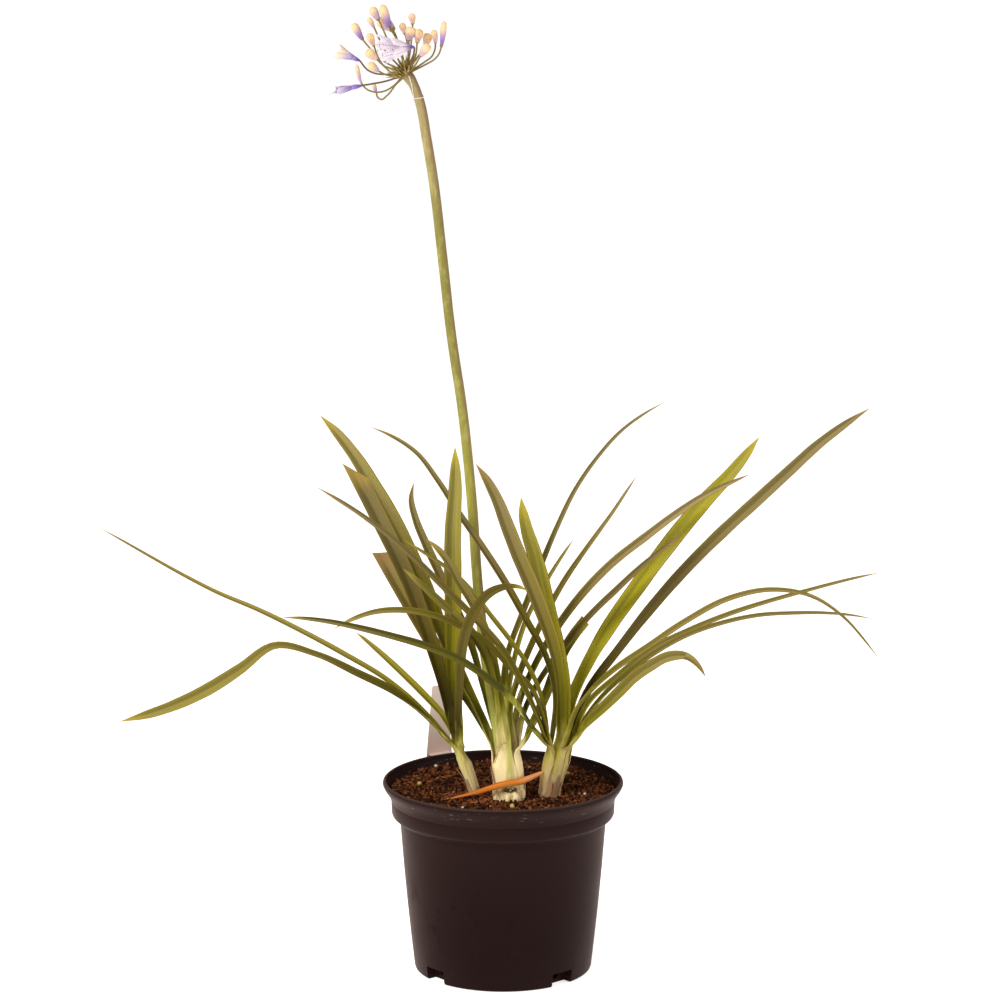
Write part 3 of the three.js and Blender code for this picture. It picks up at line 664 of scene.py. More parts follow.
def sheath_colour(graph, place, green, veins=0):
    """Pale flesh at the soil that turns green upwards, with fine veins along it and painted shade
    in a hollow of the middle shoot's foot.
    """
    x, y, z = graph.split(place)
    drift = graph.speckle(graph.stretch(place, (1, 1, 0.22)), 150, 3)
    height = z + (drift - 0.5) * 0.075 + graph.rise(abs(x - 0.003), 0.0105, 0.016) * 0.03
    pale = graph.rise(height, 0.242, 0.198)
    streak = graph.rise(abs(x - 0.0052), 0.004, 0.001) * graph.rise(height, 0.156, 0.168)
    ruddy = graph.rise(x, 0.022, 0.03) * graph.rise(height, 0.24, 0.19)
    bits = graph.speckle(place, 380, 3)
    # a patch at the middle shoot's torn foot painted dark brown: painted shade of a hollow there
    painted_hollow_shade = graph.rise(abs(x - 0.0058), 0.0075, 0.004) * graph.rise(bits, 0.38, 0.5)
    painted_hollow_shade = painted_hollow_shade * graph.rise(y, -0.03, -0.036)
    painted_hollow_shade = painted_hollow_shade * graph.rise(abs(z + (bits - 0.5) * 0.014 - 0.1538), 0.0032, 0.0014)
    return graph.coats(
        green, (pale, (0.47, 0.44, 0.055)), (graph.rise(height, 0.224, 0.176), (0.88, 0.74, 0.42)),
        (streak * pale * 0.7, (0.36, 0.37, 0.025)), (ruddy * 0.5, (0.26, 0.16, 0.04)),
        (graph.rise(veins, 0.35, 0.7) * 0.35, (0.82, 0.73, 0.48)),
        (painted_hollow_shade * 0.95, (0.075, 0.026, 0.008)),
    )


def compass(bearing):
    """The level arrow at a bearing, in degrees from +X."""
    return np.array([math.cos(math.radians(bearing)), math.sin(math.radians(bearing))])


shoot_flesh, graph, place = blank_material("shoot_flesh")
veins = graph.speckle(graph.stretch(place, (1, 1, 0.1)), 520, 4, 0.6)
spots = graph.rise(graph.speckle(place, 300, 3), 0.66, 0.76)
papery, = graph.attributes("papery")
colour = graph.coats(
    sheath_colour(graph, place, (0.27, 0.28, 0.02), veins), (spots * 0.6, (0.16, 0.09, 0.045)),
    (papery, graph.blend(veins, (0.14, 0.065, 0.03), (0.6, 0.36, 0.2))),
)
graph.surface(colour, 0.42 + papery * 0.4, 0.4, graph.bump(veins, 0.0006, 0.7))

# Each loose scale: side, the bearing it faces, its low and high ends in millimetres, half width,
# how far its top stands off, and how dry it is from 0 to 1.
LOOSE_SCALES = [
    ("left", 186, 143, 165, 3, 3, 0.7), ("left", 235, 143, 158, 2.2, 0.9, 0.6),
    ("left", 150, 143, 156, 2.4, 1.2, 0.8), ("left", 300, 143, 152, 2, 0.6, 0.5),
    ("middle", 196, 144, 171, 3.4, 1.2, 0.85), ("middle", 210, 143, 160, 3.2, 2.1, 0.35),
    ("middle", 222, 143, 155, 2.6, 1, 0.1), ("middle", 345, 143, 160, 3.6, 1.1, 0.7),
    ("middle", 318, 143, 153, 3, 0.8, 0.25), ("middle", 246, 142, 153, 2.6, 0.7, 0.05),
    ("middle", 282, 142, 150, 2.4, 0.7, 0.4), ("middle", 60, 143, 164, 4.2, 1.4, 0.9),
    ("middle", 120, 143, 158, 4, 1, 0.8), ("right", 200, 143, 163, 3.4, 0.8, 0.8),
    ("right", 250, 142, 161, 4, 0.7, 0.9), ("right", 300, 143, 163, 3.6, 1.1, 0.95),
    ("right", 340, 143, 157, 3, 0.9, 0.7), ("right", 70, 143, 162, 3.6, 1.2, 0.9),
]
# Each broken root at the middle shoot's foot: its bearing, the height that it leaves the shoot at
# and its half width in millimetres.
BROKEN_ROOTS = [(297, 151.5, 3.2), (265, 149.8, 2.2), (215, 151, 2.4), (334, 154, 2)]
ROOT_BEND = ((0, -2.5), (1.5, -0.4), (4, 0.6), (7.5, 0.2))  # how far down and how far out
SHOOT_POINTS = 36
SCALE_POINTS = 14
ROOT_POINTS = 10
HAIR_POINTS = 20
HAIR_HALF = 0.00028
HAIR = [  # the line of a dry hair that hangs down the front of the middle shoot
    (0.0027, -0.0432, 0.192), (-0.0002, -0.0443, 0.1912), (-0.0036, -0.0446, 0.186),
    (-0.0052, -0.0446, 0.180), (-0.0065, -0.0436, 0.1762),
]
random.seed(12)
for side in shoot_forms:
    middles, spreads = shoot_forms[side]
    heights = np.linspace(middles[0, 2], middles[-1, 2] - 0.003, SHOOT_POINTS)
    axes = np.linalg.eigh(spreads[2])[1]
    widths = np.array([np.sqrt(np.linalg.eigvalsh(spread)) for spread in spreads])
    spine = refine(middles[:, 2], middles, heights)
    narrowing = 0.97 * np.interp(heights[-1] - heights, (0, 0.012), (0.4, 1))
    thick, half = (refine(middles[:, 2], width, heights) * narrowing for width in widths.T)
    chains = [chain(
        spine, half, thick, lift=(*axes[:, 0], 0), ridge=0.22, seed=random.uniform(0, 50), papery=0
    )]
    for owner, bearing, low, high, width, proud, dryness in LOOSE_SCALES:
        if owner != side:
            continue
        facing = compass(bearing)
        across = np.array([-facing[1], facing[0]])
        share = np.linspace(0, 1, SCALE_POINTS)
        points = []
        for part in share:
            turned = facing + 0.12 * math.sin(4 * part + bearing) * across
            stand_off = (0.25 + proud * part ** 2) / 1000
            height = (low + (high - low) * part) / 1000
            points.append(shoot_skin(side, height, turned, stand_off)[0])
        radius = shoot_skin(side, low / 1000, facing)[1]
        ragged = np.array([random.uniform(0.8, 1.1) for _ in share]) * (1 - 0.9 * share ** 2.5)
        half = width / 1000 * ragged + 0.0002
        chains.append(chain(
            np.array(points), half, 0.00022, -(half ** 2) / (2 * radius) * (1 - 0.6 * share),
            lift=(*facing, 0), ridge=0.3, seed=random.uniform(0, 50),
            papery=np.clip(dryness + 0.3 * share, 0, 1),
        ))
    if side == "middle":
        for bearing, top, girth in BROKEN_ROOTS:
            root = smooth_line([
                shoot_skin(side, (top - drop) / 1000, compass(bearing), proud / 1000)[0]
                for drop, proud in ROOT_BEND
            ], ROOT_POINTS)
            half = girth / 1000 * np.array([random.uniform(0.8, 1.05) for _ in root])
            seed = random.uniform(0, 50)
            chains.append(chain(root, half, half * 0.8, ridge=0.5, seed=seed, papery=0.1))
        chains.append(chain(smooth_line(HAIR, HAIR_POINTS), HAIR_HALF, HAIR_HALF, papery=1))
    shoot = grow_chains(f"{side}_shoot", chains, shoot_flesh, sides=20, crest=2)
    ride_as(shoot, "shoot", f"shoot_{side}")


# ---- leaves ----
# Fleshy straps with a shallow channel on their upper side, each from a sheath wrapped round its
# shoot. Their thin edges and tips have dried brown; three have lost their tips.

# How much painted light (a brighter green), tan and painted shade each leaf has, and its width
# towards the tip.
# Where the first is below 0, the leaf's painted shade is a cooler green.
LEAF_LOOKS = {
    "left": [
        (0.45, 0.75, 0, 0.66), (0.35, 0.3, 0.8, 1.15), (0.5, 0.3, 0, 0.85), (0, 0.6, 1.5, 1.25),
        (0.3, 0, 0, 1.12), (0, 0, 2, 1.35),
    ],
    "middle": [
        (0.3, 0.15, 0.3, 1.12), (0, 0.85, 0.55, 1), (0, 0.8, 0.3, 1), (0, 0.5, 0.6, 1.05),
        (0.1, 0.4, 0.5, 0.95), (0, 0.5, 0.3, 0.64), (0.2, 1, 0, 0.7), (0.4, 0.6, 0, 0.75),
        (0, 1, 0.1, 0.9), (0, 0.9, 1.1, 0.92), (0.3, 0.1, 0.2, 1),
    ],
    "right": [
        (0, 0.6, 0.5, 0.85), (0, 0.6, 0.3, 0.75), (0.3, 0.3, 0.2, 0.85), (-1, 0.2, 0.95, 0.85),
        (0.1, 0.2, 0.5, 0.9), (0, 0.7, 0.45, 1.15), (0.7, 0, 0, 1.12), (1.1, 0, 0, 1.08),
        (0.1, 0.75, 1.05, 0.97), (0.2, 0.4, 0.1, 0.75), (0.2, 0.4, 0.1, 0.75),
        (0.1, 0.5, 0.3, 0.75), (0, 0.75, 0.2, 1.05),
    ],
}
leaf_skin, graph, place = blank_material("leaf_skin")
wide, under, run, left, seed = graph.attributes("wide", "under", "run", "left", "seed")
lit, rust, dark, side = graph.attributes("lit", "rust", "dark", "side")
strip = graph.arrow(wide * 3 + seed * 9, under * 0.3, run * 14)
veins = graph.speckle(graph.stretch(strip, (5, 1, 0.35)), 1, 4, 0.6)
patches = graph.speckle(strip, 0.9, 4, 0.55)
x, _, height = graph.split(place)
low = graph.rise(height + (patches - 0.5) * 0.06, 0.31, 0.22)
shaded = graph.rise(wide * side + (patches - 0.5) * 0.3, -0.12, 0.22)
bloom = rust * graph.rise(patches, 0.75, 0.3) * graph.rise(height, 0.22, 0.32)
far = graph.rise(left, 0.13, 0.22)
margin = graph.rise(abs(wide), 0.6, 0.85)
shade = graph.blend(lit * -1, (0.045, 0.032, 0.004), (0.034, 0.05, 0.012))
flesh = sheath_colour(graph, place, graph.coats(
    (0.1, 0.086, 0.004), (graph.rise(patches, 0.3, 0.7), (0.18, 0.152, 0.008)),
    (low * (0.7 - 0.4 * dark), (0.2, 0.205, 0.002)), (bloom * 0.85, (0.27, 0.17, 0.085)),
    (graph.rise(height, 0.27, 0.38) * 0.23, (0.34, 0.31, 0.24)),
    (graph.rise(abs(x), 0.05, 0.14) * 0.24, (0.6, 0.45, 0.28)),
    # painted light, more on some leaves than on others
    (lit * graph.rise(patches, 0.15, 0.6), (0.32, 0.3, 0.012)),
    (graph.rise(left, 0.15, 0.01) * 0.15, (0.42, 0.36, 0.12)),
    (shaded * (0.55 - 0.3 * lit), (0.045, 0.036, 0.003)),
    (graph.rise(veins, 0.45, 0.75) * 0.3, (0.31, 0.27, 0.035)),
    (graph.rise(veins, 0.5, 0.25) * 0.3, (0.06, 0.05, 0.002)),
    (graph.rise(under, 0.1, -0.4) * 0.35, (0.17, 0.13, 0.06)),
    (graph.rise(abs(wide), 0.07, 0.02) * 0.3, (0.34, 0.31, 0.035)),
    # the last coat is painted shade, deepest towards the crown
    (margin * (0.35 + 0.25 * lit), (0.36, 0.31, 0.02)), (dark * (0.32 + 0.4 * far), shade),
))
brown_edge = graph.rise(abs(wide) + (patches - 0.5) * 0.12, 0.86, 0.98)
brown_edge = brown_edge * graph.rise(height, 0.2, 0.26)
dry_tip = graph.rise(left + (patches - 0.5) * 0.02, 0.022, 0.002)
tip_tone = graph.blend(rust, (0.4, 0.33, 0.03), (0.24, 0.14, 0.07))
colour = graph.coats(flesh, (brown_edge * 0.85, (0.13, 0.062, 0.034)), (dry_tip * 0.9, tip_tone))
roughness = 0.4 + patches * 0.12 + dry_tip * 0.25
graph.surface(colour, roughness, 0.07, graph.bump(veins, 0.0005, 0.6))


def strap_station(ring):
    """The middle of the edges, the way they stand up, and the half width, of a strap's ring."""
    gaps = [(np.linalg.norm(ring[i] - ring[j]), i, j) for i in range(4) for j in range(i)]
    width, i, j = max(gaps)
    edges = (ring[i] + ring[j]) / 2
    others = np.delete(ring, (i, j), axis=0).mean(axis=0)
    return edges, edges - others, width / 2


LEAF_POINTS = 64
SHORT_OF_TIP = 0.0003  # how far a drawn growth stops short of its node's tip
SHORTEST_POINT = 0.008  # a leaf with a shorter point has lost its tip
THINNEST = 0.00015
CUT_SLANT = {"leaf_left_4": 0.0105, "leaf_middle_2": 0.0028, "leaf_middle_11": 0.002}
PINCHES = {"leaf_left_2": 0.44, "leaf_left_6": 0.97}  # where along its run a leaf is pinched
CROWN_RADIUS = 0.008  # about how far off its shoot's middle a leaf can start
SHEATH_LENGTH = 0.004  # of an upright leaf, below the brim
SHEATH_MORE = 0.03  # how much longer that of a leaf that leans right out is
SHEATH_WIDTHS = {0: 0.7, 0.3: 0.7, 0.65: 0.97, 1: 0.88}  # from the foot of a sheath to its brim
random.seed(5)
for side, looks in LEAF_LOOKS.items():
    middles = shoot_forms[side][0]
    crown = middles[-1]
    brim = middles[-2][2]
    for number, (lit, rust, dark, slender) in enumerate(looks, 1):
        node = f"leaf_{side}_{number}"
        tip, rings, foot = rings_of(node, sides=4, base=crown)
        stations = [strap_station(ring) for ring in rings[::-1]]
        blunt = tip is None or np.linalg.norm(tip - stations[-1][0]) < SHORTEST_POINT
        if not blunt:
            tip = tip - unit(tip - stations[-1][0]) * SHORT_OF_TIP
            stations.append((tip, stations[-1][1], THINNEST))
        edges, lifts, halves = (np.array(part) for part in zip(*stations))
        lifts = unit(lifts)
        widest = halves.max()

        # The sheath runs down the shoot on the side that the leaf leans to.
        lean = edges[0] - crown
        entry = foot.mean(axis=0)
        facing = unit(unit(lean[:2]) + (entry[:2] - crown[:2]) / CROWN_RADIUS)
        outer = min(1, np.linalg.norm(lean[:2]) / max(lean[2], 0.001) / 0.9)
        inwards = np.array([-facing[0], -facing[1], 0])
        sign = 1 if inwards @ lifts[0] >= 0 else -1
        lifts[0] = unit(0.55 * lifts[0] + 0.45 * sign * inwards)
        ends = brim - SHEATH_LENGTH - SHEATH_MORE * outer
        sheath = []
        for part, width in SHEATH_WIDTHS.items():
            height = ends + (brim + 0.001 - ends) * part
            proud = 0.0003 * outer - 0.0005 if part else -0.0008
            point, radius = shoot_skin(side, height, facing, proud)
            half = min(widest * width, 0.8 * radius)
            sheath.append((point, inwards * sign, half, sign * half ** 2 / (2 * radius)))

        # From there on it is as wide as the sheath at first, and then follows its own width.
        reach = run_of(edges)
        share = reach / reach[-1]
        halves *= 1 + (slender - 1.02) * np.clip(share / 0.7, 0, 1) ** 0.8
        halves = np.maximum(halves, half * np.interp(reach, (0, 0.05, 0.09), (1, 0.6, 0)))
        if node in PINCHES:
            halves *= 1 - 0.4 * np.exp(-((share - PINCHES[node]) / 0.16) ** 2)
        folds = halves * np.interp(share, (0, 0.3, 0.8, 1), (0.62, 0.42, 0.34, 0.2))
        spine = edges - lifts * folds[:, None]
        join = 0.55 * sheath[-1][0] + 0.45 * spine[0]
        sheath.append((join, lifts[0], (halves[0] + half) / 2, folds[0]))
        spine, lifts, halves, folds = (
            np.concatenate([np.array(low), high])
            for low, high in zip(zip(*sheath), (spine, lifts, halves, folds))
        )

        knots = run_of(spine)
        at = knots[-1] * (1 - (1 - np.linspace(0, 1, LEAF_POINTS)) ** 1.25)
        seed = random.uniform(0, 40)
        line = refine(knots, spine, at)
        half = np.maximum(refine(knots, halves, at), THINNEST)
        if not blunt:
            half *= np.array([1 + 0.05 * noise.noise((seed, step * 60, 0)) for step in at])
        thick = np.clip(half * 0.35, 0.00012, 0.00065) + 0.0003 * np.exp(-at / 0.03)
        strap = chain(
            line, half, thick, refine(knots, folds, at), lift=refine(knots, lifts, at),
            ridge=0.05, seed=seed, left=at[-1] - at, lit=lit, rust=rust, dark=dark,
        )
        cut = CUT_SLANT.get(node, 0)
        slant = cut * np.clip(1 - (at[-1] - at) / (2 * cut + 0.001), 0, 1) ** 1.5
        slant = slant * -np.sign(strap["across"][-1][0])
        # which half of a strap faces the key light, for its painted shade
        strap["side"] = np.sign(strap["across"] @ (-1, 0, 0.8))
        strap["shear"] = unit(line[-1] - line[-4]) * slant[:, None]
        piece = grow_chains(f"{node}_strap", [strap], leaf_skin, sides=16, crest=1.35)
        ride_as(piece, "leaf", node)


# ---- flower stem ----
# One smooth fleshy stem, faintly ribbed, that bends over and swells into the head of the umbel.
# Thin papery shreds of the bud sheath are left round its top, and short bracts crowd the head.
stem_skin, graph, place = blank_material("stem_skin")
height = graph.split(place)[2]
fibre = graph.speckle(graph.stretch(place, (1, 1, 0.05)), 900, 3)
mottle = graph.speckle(graph.stretch(place, (1, 1, 0.4)), 210, 4, 0.6)
aged = graph.rise(height + (mottle - 0.5) * 0.1, 0.55, 0.72)
under, papery, bract = graph.attributes("under", "papery", "bract")
ruddy = graph.rise(under + (mottle - 0.5) * 0.3, -0.45, -0.85)
bract_tone = graph.blend(graph.rise(mottle, 0.35, 0.65), (0.2, 0.11, 0.018), (0.5, 0.42, 0.13))
colour = graph.coats(
    # lighter green low on the stem and darker from 0.38 m up: painted light low down among the
    # leaves, painted shade higher up
    (0.26, 0.25, 0.026), (graph.rise(height, 0.38, 0.48), (0.17, 0.155, 0.02)),
    (aged, (0.32, 0.25, 0.12)), (graph.rise(mottle, 0.45, 0.7) * 0.5, (0.4, 0.36, 0.11)),
    (ruddy * (0.45 + 0.35 * aged), (0.17, 0.085, 0.04)),
    (graph.rise(fibre, 0.5, 0.72) * 0.3, (0.12, 0.11, 0.02)),
    (graph.rise(height, 0.24, 0.19), (0.34, 0.36, 0.06)),
    (papery, (0.8, 0.76, 0.66)), (bract, bract_tone),
)
graph.surface(colour, 0.38 + mottle * 0.12, 0.4, graph.bump(fibre, 0.0004, 0.5))

tip, rings, foot = rings_of("flower_stem", sides=8, base=shoot_forms["middle"][0][-1])
middles = [ring.mean(axis=0) for ring in rings[::-1]]
knots = np.array([foot.mean(axis=0) - (0, 0, 0.012), *middles, tip])
widths = [
    np.linalg.norm(ring - middle, axis=1).mean() for ring, middle in zip(rings[::-1], middles)
]
head = knots[-3]
spine = smooth_line(knots, 120)
half = refine(run_of(knots), np.array([0.0042, *widths, 0.0004]), run_of(spine))
half *= np.interp(spine[:, 2], (0.3, 0.5), (1.07, 1))
chains = [chain(spine, half, half, ridge=0.07, papery=0, bract=0)]
reach = run_of(spine)


def along_stem(share):
    """The stem's middle at a share of its length, its direction there and its radius."""
    at = share * reach[-1]
    before, after = (
        np.array([np.interp(at + step, reach, spine[:, k]) for k in range(3)])
        for step in (-0.001, 0.001)
    )
    return (before + after) / 2, unit(after - before), np.interp(at, reach, half)


def between(first, second, angle):
    """The arrow at an angle from the first arrow towards the second, which stands across it."""
    return first * math.cos(angle) + second * math.sin(angle)


# What is left of the bud sheath: a ring round the stem at a share of its length, and a shred that
# runs up from there and part of a turn round it, in radians.
COLLAR_AT = 0.9545
SHRED_ALONG = (0.957, 0.988)
SHRED_TURN = (2.5, 1.4)
SHRED_POINTS = 12
middle, direction, radius = along_stem(COLLAR_AT)
side_way = unit(np.cross(direction, (0, 1, 0)))
other_way = np.cross(direction, side_way)
collar = np.array([
    middle + (radius + 0.0002) * between(side_way, other_way, turn)
    + direction * 0.0006 * math.sin(2 * turn) for turn in np.linspace(0, 2 * math.pi, 30)
])
chains.append(chain(collar, 0.00032, 0.0003, papery=0.85, bract=0))
shred = []
shares, turns = (np.linspace(*ends, SHRED_POINTS) for ends in (SHRED_ALONG, SHRED_TURN))
for share, turn in zip(shares, turns):
    middle, direction, radius = along_stem(share)
    side_way = unit(np.cross(direction, (0, 1, 0)))
    out = between(-side_way, np.cross(direction, side_way), turn)
    shred.append(middle + out * (radius + 0.0004))
taper = np.linspace(0.0002, 0.001, SHRED_POINTS)
chains.append(chain(np.array(shred), taper, 0.00025, papery=1, bract=0))

BRACTS = 46
BRACT_POINTS = 9
BRACT_TURN = 2.4  # radians round the head from one bract to the next
random.seed(31)
for k in range(BRACTS):
    lean = 0.25 + 1.2 * ((k + 0.5) / BRACTS) ** 0.6
    forward = unit(spine[-1] - head)
    out = unit(np.cross(forward, (0.2, 1, 0.1)))
    out = between(out, np.cross(forward, out), BRACT_TURN * k)
    way = between(forward, out, lean)
    length = random.uniform(0.005, 0.0125)
    points = smooth_line([
        head + way * 0.002, head + way * (0.004 + 0.4 * length),
        head + way * (0.004 + length) + forward * 0.0012 * lean,
    ], BRACT_POINTS)
    taper = 0.0013 * (1 - np.linspace(0, 0.95, BRACT_POINTS) ** 2.2)
    chains.append(chain(points, taper, taper * 0.7, papery=0, bract=random.uniform(0.5, 1)))
stem = grow_chains("bare_flower_stem", chains, stem_skin, sides=20)
ride_as(stem, "stem", "flower_stem")


# ---- buds ----
# Waxy buds on thin stalks that spread from the head: olive-brown stalks, a violet foot and a
# cream tip. The stalks of the lower ones hang down and turn up again.
BUD_LOOKS = [  # how violet the foot and how brown the skin of each bud is, and how stout it is
    (0.5, 0.05, 1.2), (0.9, 0, 1.15), (0.4, 0, 1.6), (0.35, 0.3, 0.95), (0.9, 0, 1.2),
    (0.1, 0.55, 1.15), (0.1, 0.35, 1.35), (0.45, 0.05, 1.2), (0.5, 0.2, 1), (0.7, 0.2, 1),
    (0.1, 0.4, 1.15), (0.05, 0.1, 1), (0.35, 0, 1.4), (0.1, 0.7, 1.25), (0.1, 0.8, 1.35),
    (0.3, 0.1, 1.3), (0.25, 0.25, 1.05), (0.95, 0, 1.1),
]
# How wide a bud is at shares of its length, as shares of its radius.
BUD_SHAPE = [(0, 0.46), (0.15, 0.6), (0.35, 0.82), (0.6, 1), (0.8, 0.97), (0.93, 0.68), (1, 0.12)]
STALK_HALF = 0.00068
STALK_BLOOM = 0.3  # bloom goes from 0 to this along a stalk, and on to 1 along its bud
bud_skin, graph, place = blank_material("bud_skin")
bloom, wide, under, violet, tan = graph.attributes("bloom", "wide", "under", "violet", "tan")
mottle = graph.speckle(place, 420, 3)
petal_lines = graph.speckle(graph.arrow(wide * 3.5, under * 3.5, bloom * 1.4), 1, 2)
step = bloom + (mottle - 0.5) * 0.05
waxy = graph.coats(
    (0.6, 0.43, 0.37), (graph.rise(step, 0.55, 0.85), (0.68, 0.51, 0.3)),
    (tan * graph.rise(mottle, 0.35, 0.65), (0.5, 0.26, 0.045)),
    (graph.rise(petal_lines, 0.55, 0.75) * 0.3, (0.6, 0.42, 0.36)),
    (violet * graph.rise(step, 0.82, 0.42), (0.2, 0.1, 0.42)),
)
stalk_tone = graph.blend(mottle, (0.15, 0.08, 0.022), (0.24, 0.19, 0.04))
colour = graph.blend(graph.rise(step, 0.3, 0.4), stalk_tone, waxy)
seams = graph.bump(petal_lines + mottle * 0.3, 0.0004, 0.6)
graph.surface(colour, 0.45 + mottle * 0.1, 0.35, seams)


def stalk_and_end(node, sides, end_rings):
    """A stalk's line out to its tip, where its end starts, the end's radius, and all the rings."""
    tip, rings, _ = rings_of(node, sides, head)
    knots = np.array([*(ring.mean(axis=0) for ring in rings[::-1]), tip])
    radius = max(np.linalg.norm(ring - ring.mean(axis=0), axis=1).max() for ring in rings)
    return knots, run_of(knots)[-1 - end_rings], radius, rings


for number, (violet, tan, girth) in enumerate(BUD_LOOKS, 1):
    knots, start, radius, _ = stalk_and_end(f"bud_{number}", sides=6, end_rings=5)
    knots[-1] -= SHORT_OF_TIP * unit(knots[-1] - knots[-2])
    line = smooth_line(knots, 52, 1.15)
    at = run_of(line)
    share = np.clip((at - start) / (at[-1] - start), 0, 1)
    swell = np.maximum(girth * radius * refine(*zip(*BUD_SHAPE), share), 0.00012)
    half = np.where(at < start, STALK_HALF + 0.0004 * np.exp(-at / 0.003), swell)
    bud = grow_chains(f"bud_{number}_waxy", [chain(
        line, half, half, ridge=0.1, seed=number * 3.7, violet=violet, tan=tan,
        bloom=np.where(
            at < start, STALK_BLOOM * at / start, STALK_BLOOM + (1 - STALK_BLOOM) * share
        ),
    )], bud_skin, sides=14)
    ride_as(bud, "bud", f"bud_{number}")


# ---- flowers ----
# Three trumpets of six thin lobes, one open, one half open and one drooping: violet at the tube,
# nearly white at the tips with a violet line down each lobe. Dark anthers stand in the mouth.
petal_film, graph, place = blank_material("petal_film")
bloom, wide, part, seed = graph.attributes("bloom", "wide", "part", "seed")
cream, paleness = graph.attributes("cream", "paleness")
veins = graph.speckle(graph.arrow(wide * 7, bloom * 1.2, seed), 1, 3)
line_mask = graph.rise(abs(wide), 0.2, 0.04) * graph.rise(bloom, 1, 0.7)
colour = graph.coats(
    (0.74, 0.69, 0.76), (graph.rise(veins, 0.3, 0.75), (0.62, 0.55, 0.69)),
    (line_mask * 0.6, (0.36, 0.25, 0.6)),
    (cream * graph.rise(bloom, 0.6, 0.85), (0.8, 0.62, 0.46)),
    (graph.rise(bloom + (veins - 0.5) * 0.12, paleness, 0.36), (0.15, 0.075, 0.4)),
    (graph.rise(bloom, 0.31, 0.27), (0.13, 0.075, 0.03)),
    (graph.rise(part, 0.9, 1.1), (0.78, 0.7, 0.78)),
    (graph.rise(part, 1.9, 2.1), (0.035, 0.022, 0.02)),
)
graph.surface(colour, 0.5 + veins * 0.12, 0.3, graph.bump(veins, 0.0003, 0.6))
# At shares of their length from the foot: the tube's half width in millimetres, how far out a
# lobe stands as a share of the mouth's radius, and the lobe's half width in millimetres.
TUBE_GIRTH = [(0, 1), (0.2, 1.5), (0.55, 2.1), (0.85, 2), (1, 0.5)]
LOBE_SPREAD = [(0, 0.08), (0.12, 0.16), (0.3, 0.34), (0.5, 0.55), (0.7, 0.76), (0.87, 0.94), (1, 1)]
LOBE_HALF = [(0.1, 0.9), (0.3, 1.9), (0.5, 3.2), (0.7, 4.1), (0.85, 4), (0.95, 3), (1, 1)]
# Each flower's lobes: how wide, how far up violet, their turn, how spread, how cream at the tip,
# and how much longer the lowest is.
FLOWER_LOOKS = {
    "open": (1.0, 0.66, 0.52, 1, 0, 0), "opening": (0.85, 0.9, 0.1, 0.8, 0.8, 0.35),
    "nodding": (0.72, 1.3, 0.5, 0.55, 0, 0.45),
}
MOUTH_RING, FOOT_RING = 2, 6  # of a flower's node, counted from its tip
STAMEN, ANTHER = 1, 2  # what the attribute part says of a chain that isn't a lobe
for name, (breadth, paleness, turn, opened, cream, trailing) in FLOWER_LOOKS.items():
    knots, _, radius, rings = stalk_and_end(f"flower_{name}", sides=12, end_rings=7)
    mouth, foot = rings[MOUTH_RING].mean(axis=0), rings[FOOT_RING].mean(axis=0)
    axis = unit(mouth - foot)
    length = np.linalg.norm(mouth - foot)
    first_way = unit(np.cross(axis, (0.1, 0.2, 1)))
    second_way = np.cross(axis, first_way)
    looks = {"paleness": paleness, "part": 0, "cream": cream}
    stalk = smooth_line([*knots[:5], foot, foot + axis * 0.004], 34)
    at = run_of(stalk)
    chains = [chain(stalk, 0.0007, 0.0007, ridge=0.1, bloom=0.28 * at / at[-1], **looks)]
    share = np.linspace(0, 1, 16)
    tube_half = np.interp(share, *zip(*TUBE_GIRTH)) / 1000 * (0.5 + 0.5 * breadth)
    chains.append(chain(
        foot + np.outer(share * 0.42 * length, axis), tube_half, tube_half, ridge=0.15,
        bloom=0.31 + 0.4 * share, **looks,
    ))
    share = np.linspace(0.1, 1, 26)
    for lobe in range(6):
        inner = lobe % 2
        bearing = turn + lobe * math.pi / 3
        out = between(first_way, second_way, bearing)
        spread = refine(*zip(*LOBE_SPREAD), share) * radius * 0.99 * opened - 0.0012 * share * inner
        wave = 0.0007 * np.sin(share * 5 + lobe * 1.9) * share
        near = max(0, -out[1]) if name == "open" else 0
        low = max(0, -out[2]) ** 6 * trailing
        lobe_length = length * (1 - 0.34 * near + low) * (0.92 if inner else 1)
        lobe_line = foot + np.outer(share * lobe_length, axis) + np.outer(spread + wave, out)
        lobe_half = refine(*zip(*LOBE_HALF), share) / 1000 * breadth * (0.88 if inner else 1)
        lobe_half *= 1 - low * share
        curl = np.minimum(lobe_half ** 2 / (2 * np.maximum(spread, 0.001)), lobe_half * 0.55)
        chains.append(chain(
            lobe_line, np.maximum(lobe_half, 0.0003), 0.00028, curl, lift=-out,
            ridge=0.12, seed=lobe * 5.1, bloom=0.3 + 0.7 * share, **looks,
        ))
        if name != "open":
            continue
        out = between(first_way, second_way, bearing + 0.5)
        reach = length * (0.86 + 0.05 * (lobe % 3))
        filament = smooth_line([
            foot + axis * 0.3 * length + out * 0.0008,
            foot + axis * 0.6 * length + out * radius * 0.16,
            foot + axis * reach + out * radius * 0.3,
        ], 14)
        chains.append(chain(filament, 0.0002, 0.0002, bloom=1, **looks | {"part": STAMEN}))
        tail = filament[-1] + out * 0.0009
        anther = smooth_line([tail - second_way * 0.0009, tail, tail + second_way * 0.0009], 7)
        size = 0.0005 * np.sqrt(1 - np.linspace(-0.95, 0.95, 7) ** 2)
        chains.append(chain(anther, size, size, bloom=1, **looks | {"part": ANTHER}))
    flower = grow_chains(f"{name}_flower", chains, petal_film, sides=12, crest=1.7)
    ride_as(flower, "petal", f"flower_{name}")


